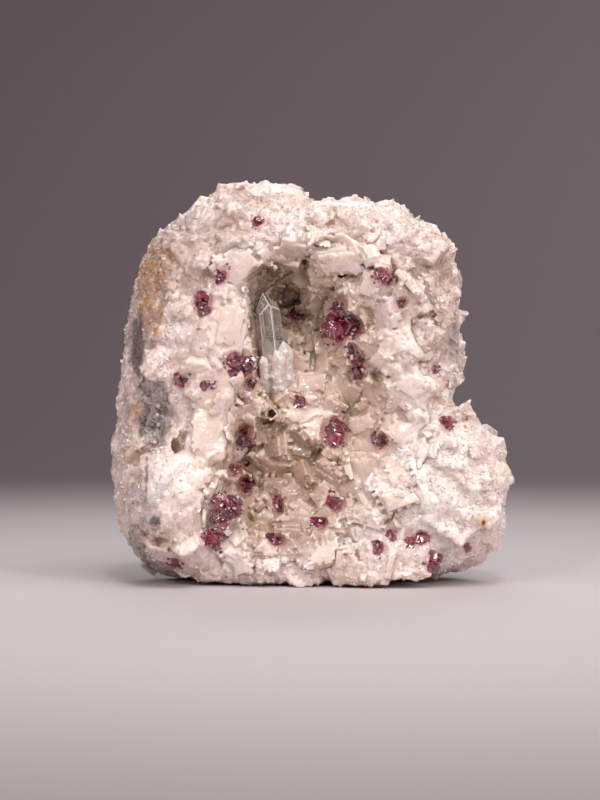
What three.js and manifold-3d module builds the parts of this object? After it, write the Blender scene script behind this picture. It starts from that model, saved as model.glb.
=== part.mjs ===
// Cinnabar specimen: a lump of white dolomite rock with a hollow in its face. Saddle-shaped dolomite
// crystals line the hollow, and a clear quartz point and dark red cinnabar crystals grew on them.
// Millimetres. +X is to the right, +Z is up and the hollow faces -Y. The lump stands on its flat base.

import * as THREE from 'three';
import { ConvexGeometry } from 'three/addons/geometries/ConvexGeometry.js';
import { mergeVertices } from 'three/addons/utils/BufferGeometryUtils.js';
import Module from 'manifold-3d';

const wasm = await Module();
wasm.setup();

// Driving dimensions of the lump
const CONTACT_GAP = 0.3;
const CRYSTAL_GAP = 0.2;
const HOLLOW_CENTRE = [-0.8, 19.5];
const LUMP_CENTRE = [0, 20];
const LUMP_MIDDLE = [0, 10, 20];
const FOOTPRINT_MIDDLE = [-0.15, 8.39];
const RIM_DEPTH = 0.8;
const EDGE_ROUNDING = 5.2;
const EDGE_ROUNDING_START = 1.62;
const BACK_Y = 22;
const BASE_SINK = 1.4;
const LARGEST_ANGLE_STEP = THREE.MathUtils.degToRad(12);
const SMALLEST_ANGLE_STEP = THREE.MathUtils.degToRad(4);
const CRUST_ANGLES = 28;
const CORNER_SLACK = 1e-6;

// Driving dimensions of the hollow and the crust of crystals in it
const FLOOR_DEPTH = 6.8;
const CRUST_THICKNESS = 1.3;
const CRUST_PROUD = 0.7;
const CRUST_REACH = 1.02;
const WALL_SETBACK = 0.94;
const PLUG_BACK_Y = 15;

// Outline of the lump seen from the front, as x and z
const OUTLINE = [
  [-12.8, 0], [-16.2, 1.2], [-18.5, 2.8], [-19.4, 4.6], [-20.2, 6.4], [-21.2, 8.7], [-21.0, 14.0],
  [-20.5, 18.8], [-19.6, 26.8], [-19.1, 30.1], [-17.9, 34.2], [-15.8, 37.2], [-13.2, 39.3],
  [-11.0, 40.8], [-8.6, 42.1], [-7.5, 41.5], [-6.0, 41.8], [-4.6, 40.9], [-1.8, 41.7], [0.1, 41.1],
  [5.1, 41.1], [9.8, 40.3], [12.8, 37.6], [14.4, 34.8], [15.3, 32.0], [15.4, 26.0], [15.5, 22.1],
  [16.2, 18.2], [18.3, 16.2], [20.3, 14.1], [21.3, 13.1], [20.6, 10.5], [20.4, 7.2], [20.8, 5.9],
  [19.6, 3.8], [17.7, 2.4], [13.8, 1.4], [9.3, 0.7], [3.9, 0.4], [-5.0, 0], [-10.9, 0.2],
];

// Lip of the hollow seen from the front, as x and z
const HOLLOW_LIP = [
  [-2.4, 36.4], [3.3, 36.7], [7.5, 33.9], [9.6, 29.9], [10.3, 24.7], [11.7, 19.5], [12.2, 15.3],
  [10.1, 11.1], [7.5, 7.0], [3.9, 4.1], [-1.4, 2.6], [-7.1, 2.8], [-11.3, 4.4], [-12.0, 8.5],
  [-10.5, 12.2], [-9.1, 15.3], [-8.4, 19.5], [-8.4, 24.7], [-7.6, 29.9], [-6.0, 33.9],
];

// Share of the way from the hollow's centre to its lip, 0 to 1, and on to the outline, 1 to 2
const LUMP_RINGS = [0.55, 0.9, 1.06, 1.33, 1.64, 1.88, 2.0];
const CRUST_RINGS = [0.35, 0.65, 0.86, CRUST_REACH];
const SIDE_RINGS = [[1.0, 10.5], [0.97, 17]];
const BACK_RINGS = [[0.82, 20.5]];

// Dolomite crystals that show one by one: x, z, width, height, turn, yaw and pitch in degrees, and
// how far the middle stands out of the surface. A positive yaw faces right, a positive pitch down.
const LARGE_PLATES = [
  [-7.8, 33.6, 5.2, 5.0, 45, 12, 8, 0.7],
  [-9.2, 27.3, 4.4, 6.6, 8, 14, 0, 0.5],
  [-1.4, 32.8, 5.4, 3.4, 25, 5, 20, 0.8],
  [3.0, 34.2, 4.0, 7.0, 80, -8, 24, 0.6],
  [6.1, 31.5, 3.2, 4.2, 20, -22, 8, 0.8],
  [1.2, 30.0, 4.0, 2.6, -10, -5, 10, 0.8],
  [8.5, 25.2, 4.6, 4.0, 55, -25, -6, 1.0],
  [-0.3, 17.6, 6.4, 3.2, 20, 5, -22, 1.2],
  [-0.3, 21.2, 5.0, 2.8, -5, -4, -12, 0.8],
  [6.1, 16.9, 2.8, 5.0, 70, -38, 5, 1.4],
  [9.3, 16.4, 4.0, 3.2, 15, -15, -10, 0.7],
  [-1.4, 13.8, 5.0, 3.2, 12, 8, -15, 1.1],
  [-5.3, 13.8, 3.2, 3.2, 40, 18, -5, 0.8],
  [-2.4, 10.1, 3.6, 3.2, 30, 0, -18, 1.0],
  [-5.3, 7.0, 4.0, 3.6, 50, 12, -8, 0.9],
  [-1.4, 6.5, 4.0, 4.0, 40, -6, -16, 0.8],
  [-4.5, 3.9, 4.5, 3.2, 8, 4, -25, 0.6],
  [-8.0, 3.6, 3.0, 2.6, 30, 10, -12, 0.5],
  [0.9, 3.6, 4.0, 3.0, -15, -5, -20, 0.6],
  [3.9, 10.1, 4.2, 4.8, 65, -20, -8, 1.0],
  [5.6, 12.4, 3.0, 4.0, 80, -28, 0, 1.1],
  [1.8, 12.4, 4.0, 2.8, 15, -8, -10, 0.9],
  [10.1, 20.8, 4.2, 4.0, 35, -18, 0, 0.7],
  [9.0, 29.6, 3.6, 4.4, 60, -20, 10, 0.6],
  [-10.9, 16.4, 4.0, 5.8, 5, 16, -4, 0.5],
  [-10.4, 21.0, 3.6, 4.6, 30, 14, 4, 0.5],
  [-9.0, 12.4, 3.8, 3.4, 25, 20, -10, 0.6],
  [-13.2, 14.6, 4.2, 3.6, 40, -6, -10, 0.4],
  [13.2, 14.3, 5.0, 3.4, 20, -12, -20, 0.5],
  [16.4, 12.2, 4.2, 3.6, 50, 8, -18, 0.5],
  [17.4, 8.6, 3.6, 4.0, 15, 18, 0, 0.4],
  [14.6, 7.0, 4.4, 3.4, 35, 0, -8, 0.5],
  [11.5, 35.5, 4.0, 3.0, 30, 10, -18, 0.4],
  [12.8, 29.0, 3.4, 4.6, 10, 14, 0, 0.4],
  [-12.5, 34.6, 4.0, 3.0, 55, -12, -14, 0.4],
  [-14.0, 28.0, 3.0, 4.4, 12, -8, 0, 0.3],
];

// Fan of upright dolomite ribs along the lower right of the hollow
const RIB_COUNT = 8;
const RIB_FIRST = [3.4, 2.9];
const RIB_LAST = [11.8, 3.2];
const RIB_SIZE = [2.1, 4.4];

// Small dolomite crystals scattered between the large ones
const RIM_PLATES = 18;
const RIM_PLATE_SIZE = [1.8, 3.2];
const HOLLOW_PLATES = 12;
const HOLLOW_PLATE_SIZE = [2.4, 4.2];
const PLATE_THICKNESS = 1.1;
const PLATE_BEND = 0.36;
const PLATE_SKEW = 0.18;

// Flat breaks across the back and sides: azimuth and elevation of the side that faces out, in degrees,
// and distance from the middle of the lump. Azimuth 90 faces right and 180 faces back.
const BREAKS = [
  [177, 4, 9.4], [128, 16, 15.4], [146, -14, 14.6], [220, 22, 15.2], [238, -8, 17.6],
  [168, 44, 17.4], [200, -34, 15.6], [112, -10, 18.2], [250, 30, 21.2], [205, 6, 11.4],
];
const BREAK_BOX = 90;

// Quartz: foot and tip of each point as x, y, z, and its radius. The tip is the last part of it.
const QUARTZ_POINTS = [
  { foot: [-3.9, 7.2, 20.6], tip: [-5.0, 3.6, 31.0], radius: 1.32 },
  { foot: [-3.2, 7.0, 20.4], tip: [-3.9, 4.4, 27.3], radius: 1.25 },
  { foot: [-4.7, 7.0, 20.8], tip: [-5.6, 4.6, 25.6], radius: 0.9 },
];
const QUARTZ_TIP_SHARE = 1.55;

// Cinnabar crystals: name, x, z, width, height, turn in degrees and number of grains grown together.
// Rows with the same name are one cluster.
const CINNABAR = [
  ['cinnabar_top_edge', -5.8, 38.0, 0.9, 1.3, 10, 1],
  ['cinnabar_top_left_blade', -9.5, 32.5, 0.8, 2.0, 35, 1],
  ['cinnabar_upper_left', -11.4, 29.5, 1.6, 2.2, -15, 2],
  ['cinnabar_left_rim_outer', -13.8, 21.6, 1.3, 1.1, 20, 1],
  ['cinnabar_left_rim_inner', -10.8, 21.1, 1.3, 0.9, -10, 1],
  ['cinnabar_left_wall_cluster', -8.2, 23.3, 1.7, 2.1, 10, 2],
  ['cinnabar_left_wall_cluster', -6.9, 23.2, 1.9, 1.9, -25, 2],
  ['cinnabar_left_wall_lower', -6.6, 21.1, 1.0, 1.1, 30, 1],
  ['cinnabar_quartz_foot', -5.3, 22.5, 0.7, 1.3, 5, 1],
  ['cinnabar_upper_recess', -1.6, 28.4, 1.6, 0.8, 12, 1],
  ['cinnabar_upper_cluster', 2.7, 29.0, 1.4, 2.4, 5, 2],
  ['cinnabar_upper_cluster', 2.1, 26.8, 2.3, 2.6, -20, 3],
  ['cinnabar_upper_cluster', 3.9, 27.1, 2.4, 2.1, 30, 3],
  ['cinnabar_chain', 4.0, 24.7, 1.1, 1.0, 0, 1],
  ['cinnabar_chain', 4.6, 23.7, 1.4, 1.4, 25, 2],
  ['cinnabar_chain', 4.8, 22.4, 1.3, 1.4, -15, 2],
  ['cinnabar_upper_right', 7.4, 32.2, 2.1, 1.3, 8, 2],
  ['cinnabar_upper_right_small', 9.2, 29.6, 0.9, 0.7, 20, 1],
  ['cinnabar_right_rim', 12.8, 22.7, 0.7, 0.9, 0, 1],
  ['cinnabar_centre_small', -1.4, 19.2, 1.1, 1.1, 15, 1],
  ['cinnabar_dark_dot', -4.4, 18.0, 0.7, 0.7, 0, 1],
  ['cinnabar_left_floor', -7.2, 15.4, 1.6, 2.5, 8, 2],
  ['cinnabar_left_floor_dark', -8.2, 12.0, 1.2, 1.2, -20, 1],
  ['cinnabar_lower_left_single', -7.1, 10.3, 1.3, 1.7, 5, 2],
  ['cinnabar_lower_left_cluster', -9.9, 9.2, 1.7, 1.7, 10, 2],
  ['cinnabar_lower_left_cluster', -8.4, 8.8, 1.4, 1.3, -20, 1],
  ['cinnabar_lower_left_cluster', -8.3, 7.7, 1.5, 1.4, 30, 1],
  ['cinnabar_lower_left_cluster', -9.8, 7.5, 1.8, 1.6, 0, 1],
  ['cinnabar_lower_left_cluster', -9.4, 6.1, 1.6, 1.5, 45, 1],
  ['cinnabar_lower_left_cluster', -10.4, 5.1, 2.2, 1.5, 20, 1],
  ['cinnabar_lower_centre_left', -3.6, 8.4, 0.9, 1.5, -12, 1],
  ['cinnabar_lower_centre_base', -3.9, 5.0, 1.3, 1.1, 25, 1],
  ['cinnabar_bottom_left', -14.3, 2.5, 1.6, 0.9, 15, 1],
  ['cinnabar_centre', 2.4, 15.9, 2.4, 3.0, -12, 2],
  ['cinnabar_centre_right', 7.0, 15.3, 1.5, 1.3, 30, 1],
  ['cinnabar_right_shoulder', 14.0, 17.0, 1.3, 1.1, 10, 1],
  ['cinnabar_lower_centre', 2.3, 8.9, 1.6, 1.8, -35, 2],
  ['cinnabar_lower_centre_small', 0.7, 6.7, 1.3, 1.0, 0, 1],
  ['cinnabar_rib_upper', 8.2, 5.7, 0.8, 1.5, 5, 1],
  ['cinnabar_rib_lower', 6.7, 4.2, 0.9, 1.7, -8, 1],
  ['cinnabar_lower_right_upper', 11.4, 5.3, 1.5, 1.2, 22, 2],
  ['cinnabar_lower_right_middle', 10.1, 4.7, 0.9, 0.9, 0, 1],
  ['cinnabar_lower_right_base', 12.5, 2.7, 1.9, 1.7, 40, 2],
  ['cinnabar_lower_right_outer', 16.0, 4.1, 0.8, 0.7, 12, 1],
];
const CINNABAR_DEPTH_SHARE = 0.8;
const CINNABAR_SINK = 0.12;

const STONE = { color: 0xe6dcd3, roughness: 0.7, metalness: 0 };
const DOLOMITE = { color: 0xdccfc0, roughness: 0.4, metalness: 0 };
const QUARTZ = { color: 0xe4e6e4, roughness: 0.08, metalness: 0 };
const RED = { color: 0x6e1932, roughness: 0.2, metalness: 0 };

// Numbers in a fixed order, so that the specimen is the same each time
const LAST_SEED = 2147483647;
let seed = 41270;

function between(low, high) {
  seed = (seed * 16807) % LAST_SEED;
  return low + ((high - low) * seed) / LAST_SEED;
}

const { smoothstep, clamp, degToRad, lerp } = THREE.MathUtils;

function hill(x, z, centreX, centreZ, reachX, reachZ) {
  return Math.exp(-(((x - centreX) / reachX) ** 2) - ((z - centreZ) / reachZ) ** 2);
}

function dome(x, z, centreX, centreZ, reachX, reachZ) {
  const inside = 1 - ((x - centreX) / reachX) ** 2 - ((z - centreZ) / reachZ) ** 2;
  return Math.sqrt(Math.max(0, inside));
}

// Distance from the hollow's centre to an outline along an angle
function distanceTo(outline, angle) {
  const [centreX, centreZ] = HOLLOW_CENTRE;
  const alongX = Math.cos(angle);
  const alongZ = Math.sin(angle);
  let farthest = 0;
  outline.forEach(([startX, startZ], index) => {
    const [endX, endZ] = outline[(index + 1) % outline.length];
    const edgeX = endX - startX;
    const edgeZ = endZ - startZ;
    const cross = alongX * edgeZ - alongZ * edgeX;
    const onRay = ((startX - centreX) * edgeZ - (startZ - centreZ) * edgeX) / cross;
    const onEdge = ((startX - centreX) * alongZ - (startZ - centreZ) * alongX) / cross;
    if (onEdge > -CORNER_SLACK && onEdge < 1 + CORNER_SLACK) {
      farthest = Math.max(farthest, onRay);
    }
  });
  return farthest;
}

function placeAt(angle, share) {
  const lip = distanceTo(HOLLOW_LIP, angle);
  const edge = distanceTo(OUTLINE, angle);
  const distance = share <= 1 ? lip * share : lip + (edge - lip) * (share - 1);
  return [HOLLOW_CENTRE[0] + Math.cos(angle) * distance, HOLLOW_CENTRE[1] + Math.sin(angle) * distance];
}

function shareAt(x, z) {
  const angle = Math.atan2(z - HOLLOW_CENTRE[1], x - HOLLOW_CENTRE[0]);
  const distance = Math.hypot(x - HOLLOW_CENTRE[0], z - HOLLOW_CENTRE[1]);
  const lip = distanceTo(HOLLOW_LIP, angle);
  const edge = distanceTo(OUTLINE, angle);
  return distance <= lip ? distance / lip : 1 + (distance - lip) / (edge - lip);
}

// Angles of the outline's own corners, with more between corners that lie far apart
function ringAngles() {
  const corners = OUTLINE.map(([x, z]) => Math.atan2(z - HOLLOW_CENTRE[1], x - HOLLOW_CENTRE[0]));
  corners.sort((a, b) => a - b);
  const angles = [];
  corners.forEach((angle, index) => {
    const next = index + 1 < corners.length ? corners[index + 1] : corners[0] + 2 * Math.PI;
    const steps = Math.ceil((next - angle) / LARGEST_ANGLE_STEP);
    if (next - angle > SMALLEST_ANGLE_STEP) {
      for (let step = 0; step < steps; step += 1) {
        angles.push(lerp(angle, next, step / steps));
      }
    }
  });
  return angles;
}

// Depth of the rim's face behind y = 0, with the knob at the lower left and the mass at the right
function rimDepth(x, z) {
  const leftBevel = 1.6 * smoothstep(-x, 13, 20);
  const topBevel = 2.2 * smoothstep(z, 36, 42);
  const rightBevel = 2.5 * smoothstep(x, 10, 16) * smoothstep(z, 16, 20);
  const knob = 4.2 * dome(x, z, -15.2, 8.3, 4.7, 5.4);
  const rightMass = 2.6 * hill(x, z, 14, 9, 6, 5.5) + 0.8 * hill(x, z, 7, 3.5, 5, 2.5);
  const leftRecess = 1.9 * hill(x, z, -17.3, 17, 1.6, 3.4) + 0.9 * hill(x, z, -18.4, 24, 1.3, 6);
  const leftSwell = 0.8 * hill(x, z, -11, 22, 3, 8);
  return RIM_DEPTH + leftBevel + topBevel + rightBevel + leftRecess - knob - rightMass - leftSwell;
}

// Depth of the hollow below the rim, deepest behind the quartz and beside the knob
function hollowDepth(x, z, share) {
  const deepParts = 4.6 * hill(x, z, -2.4, 30.3, 3.6, 4.4) + 2.4 * hill(x, z, -10.2, 9.5, 2.8, 3.6);
  const pocket = 1.5 * hill(x, z, 6.5, 16.8, 2, 2);
  const risingRight = 2.4 * smoothstep(x, 1, 11);
  const risingFoot = 1.8 * smoothstep(-z, -10, -3);
  const middleBank = 1.2 * hill(x, z, -1, 17, 6, 3.5);
  const floor = FLOOR_DEPTH + deepParts + pocket - risingRight - risingFoot - middleBank;
  const leftness = smoothstep(-x + 0.35 * (z - HOLLOW_CENTRE[1]), -4, 5);
  const wallStart = lerp(0.35, 0.72, leftness);
  return floor * (1 - smoothstep(share, wallStart, 1));
}

function edgeRounding(share) {
  const past = clamp((share - EDGE_ROUNDING_START) / (2 - EDGE_ROUNDING_START), 0, 1);
  return EDGE_ROUNDING * (1 - Math.sqrt(1 - past * past));
}

function rockDepth(x, z, share) {
  const crustRoom = CRUST_THICKNESS * (1 - smoothstep(share, 0.8, 1));
  return rimDepth(x, z) + hollowDepth(x, z, share * WALL_SETBACK) + crustRoom + edgeRounding(share);
}

function crystalDepth(x, z, share) {
  return rimDepth(x, z) + hollowDepth(x, z, share) + edgeRounding(share);
}

// Closed skin over rings of points, from a middle point in front to a middle point behind
function closedSkin(frontMiddle, rings, backMiddle) {
  const count = rings[0].length;
  const points = [frontMiddle, ...rings.flat(), backMiddle];
  const backIndex = points.length - 1;
  const triangles = [];
  const pointOf = (ring, index) => 1 + ring * count + (index % count);
  for (let index = 0; index < count; index += 1) {
    triangles.push(0, pointOf(0, index), pointOf(0, index + 1));
    for (let ring = 0; ring + 1 < rings.length; ring += 1) {
      const inner = pointOf(ring, index);
      const innerNext = pointOf(ring, index + 1);
      const outer = pointOf(ring + 1, index);
      const outerNext = pointOf(ring + 1, index + 1);
      triangles.push(inner, outer, outerNext, inner, outerNext, innerNext);
    }
    triangles.push(pointOf(rings.length - 1, index), backIndex, pointOf(rings.length - 1, index + 1));
  }
  const geometry = new THREE.BufferGeometry();
  geometry.setAttribute('position', new THREE.Float32BufferAttribute(points.flat(), 3));
  geometry.setIndex(triangles);
  return geometry;
}

// The bare lump: rim and hollow in front, rounded edges, sides and a broken back
function lumpGeometry(angles) {
  const frontRings = LUMP_RINGS.map((share) => angles.map((angle) => {
    const [x, z] = placeAt(angle, share);
    const roughness = share > 1 ? between(-0.3, 0.3) * (1 - smoothstep(-x, 12, 18)) : 0;
    return [x, rockDepth(x, z, share) + roughness, z];
  }));
  const aroundRings = [...SIDE_RINGS, ...BACK_RINGS].map(([scale, y]) => angles.map((angle) => {
    const [edgeX, edgeZ] = placeAt(angle, 2);
    const smoothSide = 1 - 0.8 * smoothstep(-edgeX, 12, 18);
    const reach = scale * (1 + between(-0.018, 0.012) * smoothSide);
    const x = LUMP_CENTRE[0] + (edgeX - LUMP_CENTRE[0]) * reach;
    const z = LUMP_CENTRE[1] + (edgeZ - LUMP_CENTRE[1]) * reach;
    const footDepth = BASE_SINK * smoothstep(-z, -4, 0) * (1 - smoothstep(Math.abs(x + 2), 12, 17));
    return [x, y + between(-0.7, 0.7), z - footDepth];
  }));
  const [middleX, middleZ] = HOLLOW_CENTRE;
  const frontMiddle = [middleX, rockDepth(middleX, middleZ, 0), middleZ];
  const backMiddle = [LUMP_CENTRE[0], BACK_Y, LUMP_CENTRE[1]];
  return closedSkin(frontMiddle, [...frontRings, ...aroundRings], backMiddle);
}

// Solid plug that fills the hollow from the crystals' surface back into the rock
function plugGeometry() {
  const angleStep = (2 * Math.PI) / CRUST_ANGLES;
  const angles = Array.from({ length: CRUST_ANGLES }, (unused, index) => index * angleStep);
  const frontRings = CRUST_RINGS.map((share) => angles.map((angle) => {
    const [x, z] = placeAt(angle, share);
    return [x, crystalDepth(x, z, share) - CRUST_PROUD + between(-0.2, 0.2), z];
  }));
  const backRing = angles.map((angle) => {
    const [x, z] = placeAt(angle, CRUST_REACH);
    return [x, PLUG_BACK_Y, z];
  });
  const [middleX, middleZ] = HOLLOW_CENTRE;
  const frontMiddle = [middleX, crystalDepth(middleX, middleZ, 0) - CRUST_PROUD, middleZ];
  return closedSkin(frontMiddle, [...frontRings, backRing], [middleX, PLUG_BACK_Y, middleZ]);
}

function grownGeometry(geometry, gap) {
  const grown = geometry.clone();
  grown.computeVertexNormals();
  const { position, normal } = grown.attributes;
  for (let index = 0; index < position.count; index += 1) {
    position.setXYZ(
      index,
      position.getX(index) + normal.getX(index) * gap,
      position.getY(index) + normal.getY(index) * gap,
      position.getZ(index) + normal.getZ(index) * gap,
    );
  }
  return grown;
}

function solidOf(geometry, placing = new THREE.Matrix4()) {
  const bare = geometry.clone();
  bare.deleteAttribute('normal');
  bare.deleteAttribute('uv');
  const welded = mergeVertices(bare, 1e-4);
  welded.applyMatrix4(placing);
  return new wasm.Manifold(new wasm.Mesh({
    numProp: 3,
    vertProperties: new Float32Array(welded.attributes.position.array),
    triVerts: new Uint32Array(welded.index.array),
  }));
}

function geometryOf(solid) {
  const { vertProperties, triVerts } = solid.getMesh();
  const geometry = new THREE.BufferGeometry();
  geometry.setAttribute('position', new THREE.BufferAttribute(new Float32Array(vertProperties), 3));
  geometry.setIndex(new THREE.BufferAttribute(new Uint32Array(triVerts), 1));
  return geometry;
}

function joined(solids) {
  return solids.reduce((whole, solid) => whole.add(solid));
}

// The largest body of a solid, without the slivers that a cut leaves beside it
function largestPart(solid) {
  const parts = solid.decompose();
  return parts.reduce((best, part) => (part.volume() > best.volume() ? part : best));
}

function turned(turn, yaw, pitch, place) {
  const euler = new THREE.Euler(degToRad(pitch), degToRad(turn), degToRad(yaw), 'ZXY');
  return new THREE.Matrix4().makeRotationFromEuler(euler).setPosition(...place);
}

// Saddle-shaped dolomite crystal: a skewed plate whose corners bend back and forward in turn
function plateGeometry(width, height, thickness) {
  const geometry = new THREE.BoxGeometry(width, thickness, height);
  const { position } = geometry.attributes;
  for (let index = 0; index < position.count; index += 1) {
    const x = position.getX(index);
    const y = position.getY(index);
    const z = position.getZ(index);
    const corner = Math.sign(x) * Math.sign(z);
    position.setXYZ(index, x + PLATE_SKEW * z, y + PLATE_BEND * corner, z);
  }
  return geometry;
}

// A plate and the same plate grown by the gap, placed on the crystals' surface
function placedPlate([x, z, width, height, turn, yaw, pitch, lift]) {
  const share = shareAt(x, z);
  const y = crystalDepth(x, z, share) - lift + PLATE_THICKNESS / 2;
  const placing = turned(turn, yaw, pitch, [x, y, z]);
  const added = 2 * CONTACT_GAP;
  return {
    share,
    solid: solidOf(plateGeometry(width, height, PLATE_THICKNESS), placing),
    grown: solidOf(plateGeometry(width + added, height + added, PLATE_THICKNESS + added), placing),
  };
}

function ribRows() {
  return Array.from({ length: RIB_COUNT }, (unused, index) => {
    const along = index / (RIB_COUNT - 1);
    const x = lerp(RIB_FIRST[0], RIB_LAST[0], along);
    const z = lerp(RIB_FIRST[1], RIB_LAST[1], along) + between(-0.3, 0.5);
    return [x, z, RIB_SIZE[0], RIB_SIZE[1], lerp(-20, 24, along), lerp(-30, 30, along), -12, 0.7];
  });
}

function scatteredRows(count, [lowShare, highShare], [smallest, largest], steepness) {
  return Array.from({ length: count }, () => {
    const angle = between(-Math.PI, Math.PI);
    const share = Math.sqrt(between(lowShare ** 2, highShare ** 2));
    const [x, z] = placeAt(angle, share);
    const width = between(smallest, largest);
    const height = width * between(0.75, 1.3);
    const yaw = between(-steepness, steepness);
    const pitch = between(-steepness, steepness);
    return [x, z, width, height, between(0, 90), yaw, pitch, between(0.25, 0.7)];
  });
}

// Everything on the outer side of one flat break
function breakSolid([azimuth, elevation, distance]) {
  const turn = new THREE.Euler(degToRad(elevation), 0, degToRad(azimuth - 180), 'ZYX');
  const placing = new THREE.Matrix4().makeRotationFromEuler(turn).setPosition(...LUMP_MIDDLE);
  const box = new THREE.BoxGeometry(BREAK_BOX, BREAK_BOX, BREAK_BOX);
  return solidOf(box.translate(0, distance + BREAK_BOX / 2, 0), placing);
}

// Six-sided quartz point along +Y from its foot, placed between its foot and its tip
function quartzSolid({ foot, tip, radius }, gap) {
  const start = new THREE.Vector3(...foot);
  const along = new THREE.Vector3(...tip).sub(start);
  const length = along.length() + gap;
  const side = radius + gap;
  const profile = [
    new THREE.Vector2(0, 0),
    new THREE.Vector2(side, 0),
    new THREE.Vector2(side, length - side * QUARTZ_TIP_SHARE),
    new THREE.Vector2(0, length),
  ];
  const upright = new THREE.Vector3(0, 1, 0);
  const turn = new THREE.Quaternion().setFromUnitVectors(upright, along.normalize());
  const placing = new THREE.Matrix4().compose(start, turn, new THREE.Vector3(1, 1, 1));
  return solidOf(new THREE.LatheGeometry(profile, 6), placing);
}

// Cinnabar rhombohedron with one corner towards the front
function grainGeometry(width, depth, height) {
  const geometry = new THREE.BoxGeometry(1, 1, 1);
  const diagonal = new THREE.Vector3(1, 1, 1).normalize();
  const toFront = new THREE.Vector3(0, -1, 0);
  geometry.applyQuaternion(new THREE.Quaternion().setFromUnitVectors(diagonal, toFront));
  geometry.computeBoundingBox();
  const size = geometry.boundingBox.getSize(new THREE.Vector3());
  return geometry.scale(width / size.x, depth / size.y, height / size.z);
}

// Grains of one cinnabar row as width, height, turn and offset: a twin of the first, then smaller ones
function grainRows([, , , width, height, turn, grains]) {
  const rows = [{ width, height, turn, x: 0, z: 0, forward: 0 }];
  for (let index = 1; index < grains; index += 1) {
    const around = between(0, 2 * Math.PI);
    const share = between(0.55, 0.75);
    rows.push({
      width: width * share,
      height: height * share,
      turn: turn + 60 + between(-15, 15),
      x: Math.cos(around) * width * 0.28,
      z: Math.sin(around) * height * 0.28,
      forward: Math.min(width, height) * between(0.05, 0.2),
    });
  }
  return rows;
}

function cornersOf(geometry) {
  const { position } = geometry.attributes;
  return Array.from({ length: position.count }, (unused, index) => (
    new THREE.Vector3().fromBufferAttribute(position, index)
  ));
}

// The grains of one row joined, and a plain room around them that is larger by the gap
function cinnabarRow(row, surfaceY) {
  const [, x, z] = row;
  const solids = [];
  const corners = [];
  grainRows(row).forEach((grain) => {
    const depth = Math.min(grain.width, grain.height) * 2 * CINNABAR_DEPTH_SHARE;
    const y = surfaceY + CINNABAR_SINK - grain.forward;
    const place = [x + grain.x, y, z + grain.z];
    const placing = turned(grain.turn, between(-18, 18), between(-18, 18), place);
    const added = 2 * CRYSTAL_GAP;
    const grown = grainGeometry(grain.width + added, depth + added, grain.height + added);
    solids.push(solidOf(grainGeometry(grain.width, depth, grain.height), placing));
    corners.push(...cornersOf(grown.applyMatrix4(placing)));
  });
  return { solid: joined(solids), room: solidOf(new ConvexGeometry(corners)) };
}

// Depth of the first surface met from the front
function surfaceDepth(surfaces, x, z) {
  const start = new THREE.Vector3(x, -50, z);
  const caster = new THREE.Raycaster(start, new THREE.Vector3(0, 1, 0));
  return caster.intersectObjects(surfaces)[0].point.y;
}

function cinnabarClusters(surfaces) {
  const names = [...new Set(CINNABAR.map(([name]) => name))];
  return names.map((name) => {
    const rows = CINNABAR.filter((row) => row[0] === name);
    const depths = rows.map(([, x, z]) => surfaceDepth(surfaces, x, z));
    const grains = rows.map((row) => cinnabarRow(row, Math.min(...depths)));
    return {
      name,
      solid: largestPart(joined(grains.map((grain) => grain.solid))),
      room: joined(grains.map((grain) => grain.room)),
    };
  });
}

function meshOf(name, solid, finish) {
  const material = new THREE.MeshStandardMaterial({ ...finish, flatShading: true });
  const mesh = new THREE.Mesh(geometryOf(solid), material);
  mesh.name = name;
  return mesh;
}

// The rock, and every rim crystal that is part of it
const angles = ringAngles();
const lump = lumpGeometry(angles);
const plates = [
  ...LARGE_PLATES,
  ...ribRows(),
  ...scatteredRows(RIM_PLATES, [1.12, 1.86], RIM_PLATE_SIZE, 22),
  ...scatteredRows(HOLLOW_PLATES, [0.15, 0.98], HOLLOW_PLATE_SIZE, 34),
].map(placedPlate);
const rimPlates = plates.filter((plate) => plate.share > 1);
const hollowPlates = plates.filter((plate) => plate.share <= 1);
const below = solidOf(new THREE.BoxGeometry(100, 100, 20).translate(0, 0, -10));
const brokenAway = joined([below, ...BREAKS.map(breakSolid)]);
const rock = joined([solidOf(lump), ...rimPlates.map((plate) => plate.solid)]).subtract(brokenAway);

// The crust fills the hollow's lining, clear of the rock and its rim crystals
const grownLump = solidOf(grownGeometry(lump, CONTACT_GAP));
const grownRock = joined([grownLump, ...rimPlates.map((plate) => plate.grown)]);
const plug = joined([solidOf(plugGeometry()), ...hollowPlates.map((plate) => plate.solid)]);
const wholeCrust = plug.subtract(grownRock).subtract(below);

// The quartz and the cinnabar stand in pockets of what they grew on
const quartz = joined(QUARTZ_POINTS.map((point) => quartzSolid(point, 0)));
const quartzRoom = joined(QUARTZ_POINTS.map((point) => quartzSolid(point, CONTACT_GAP)));
const clearOfRock = quartz.subtract(grownRock);
const surfaces = [meshOf('rock', rock, STONE), meshOf('crust', wholeCrust, DOLOMITE)];
surfaces.forEach((mesh) => mesh.updateMatrixWorld());
const clusters = cinnabarClusters(surfaces);
const cinnabarRooms = joined(clusters.map((cluster) => cluster.room));
const rooms = quartzRoom.add(cinnabarRooms);

const specimen = new THREE.Group();
specimen.position.set(-FOOTPRINT_MIDDLE[0], -FOOTPRINT_MIDDLE[1], 0);
specimen.add(meshOf('matrix', largestPart(rock.subtract(rooms)), STONE));
specimen.add(meshOf('dolomite_crust', largestPart(wholeCrust.subtract(rooms)), DOLOMITE));
specimen.add(meshOf('quartz_crystal', largestPart(clearOfRock.subtract(cinnabarRooms)), QUARTZ));
clusters.forEach(({ name, solid }) => specimen.add(meshOf(name, solid, RED)));

export default specimen;
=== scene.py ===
# Cinnabar specimen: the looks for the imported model. White dolomite rock with a crystal-lined hollow,
# a clear quartz point and dark red cinnabar crystals. Lists are in millimetres, Blender is in metres.

import math

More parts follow.
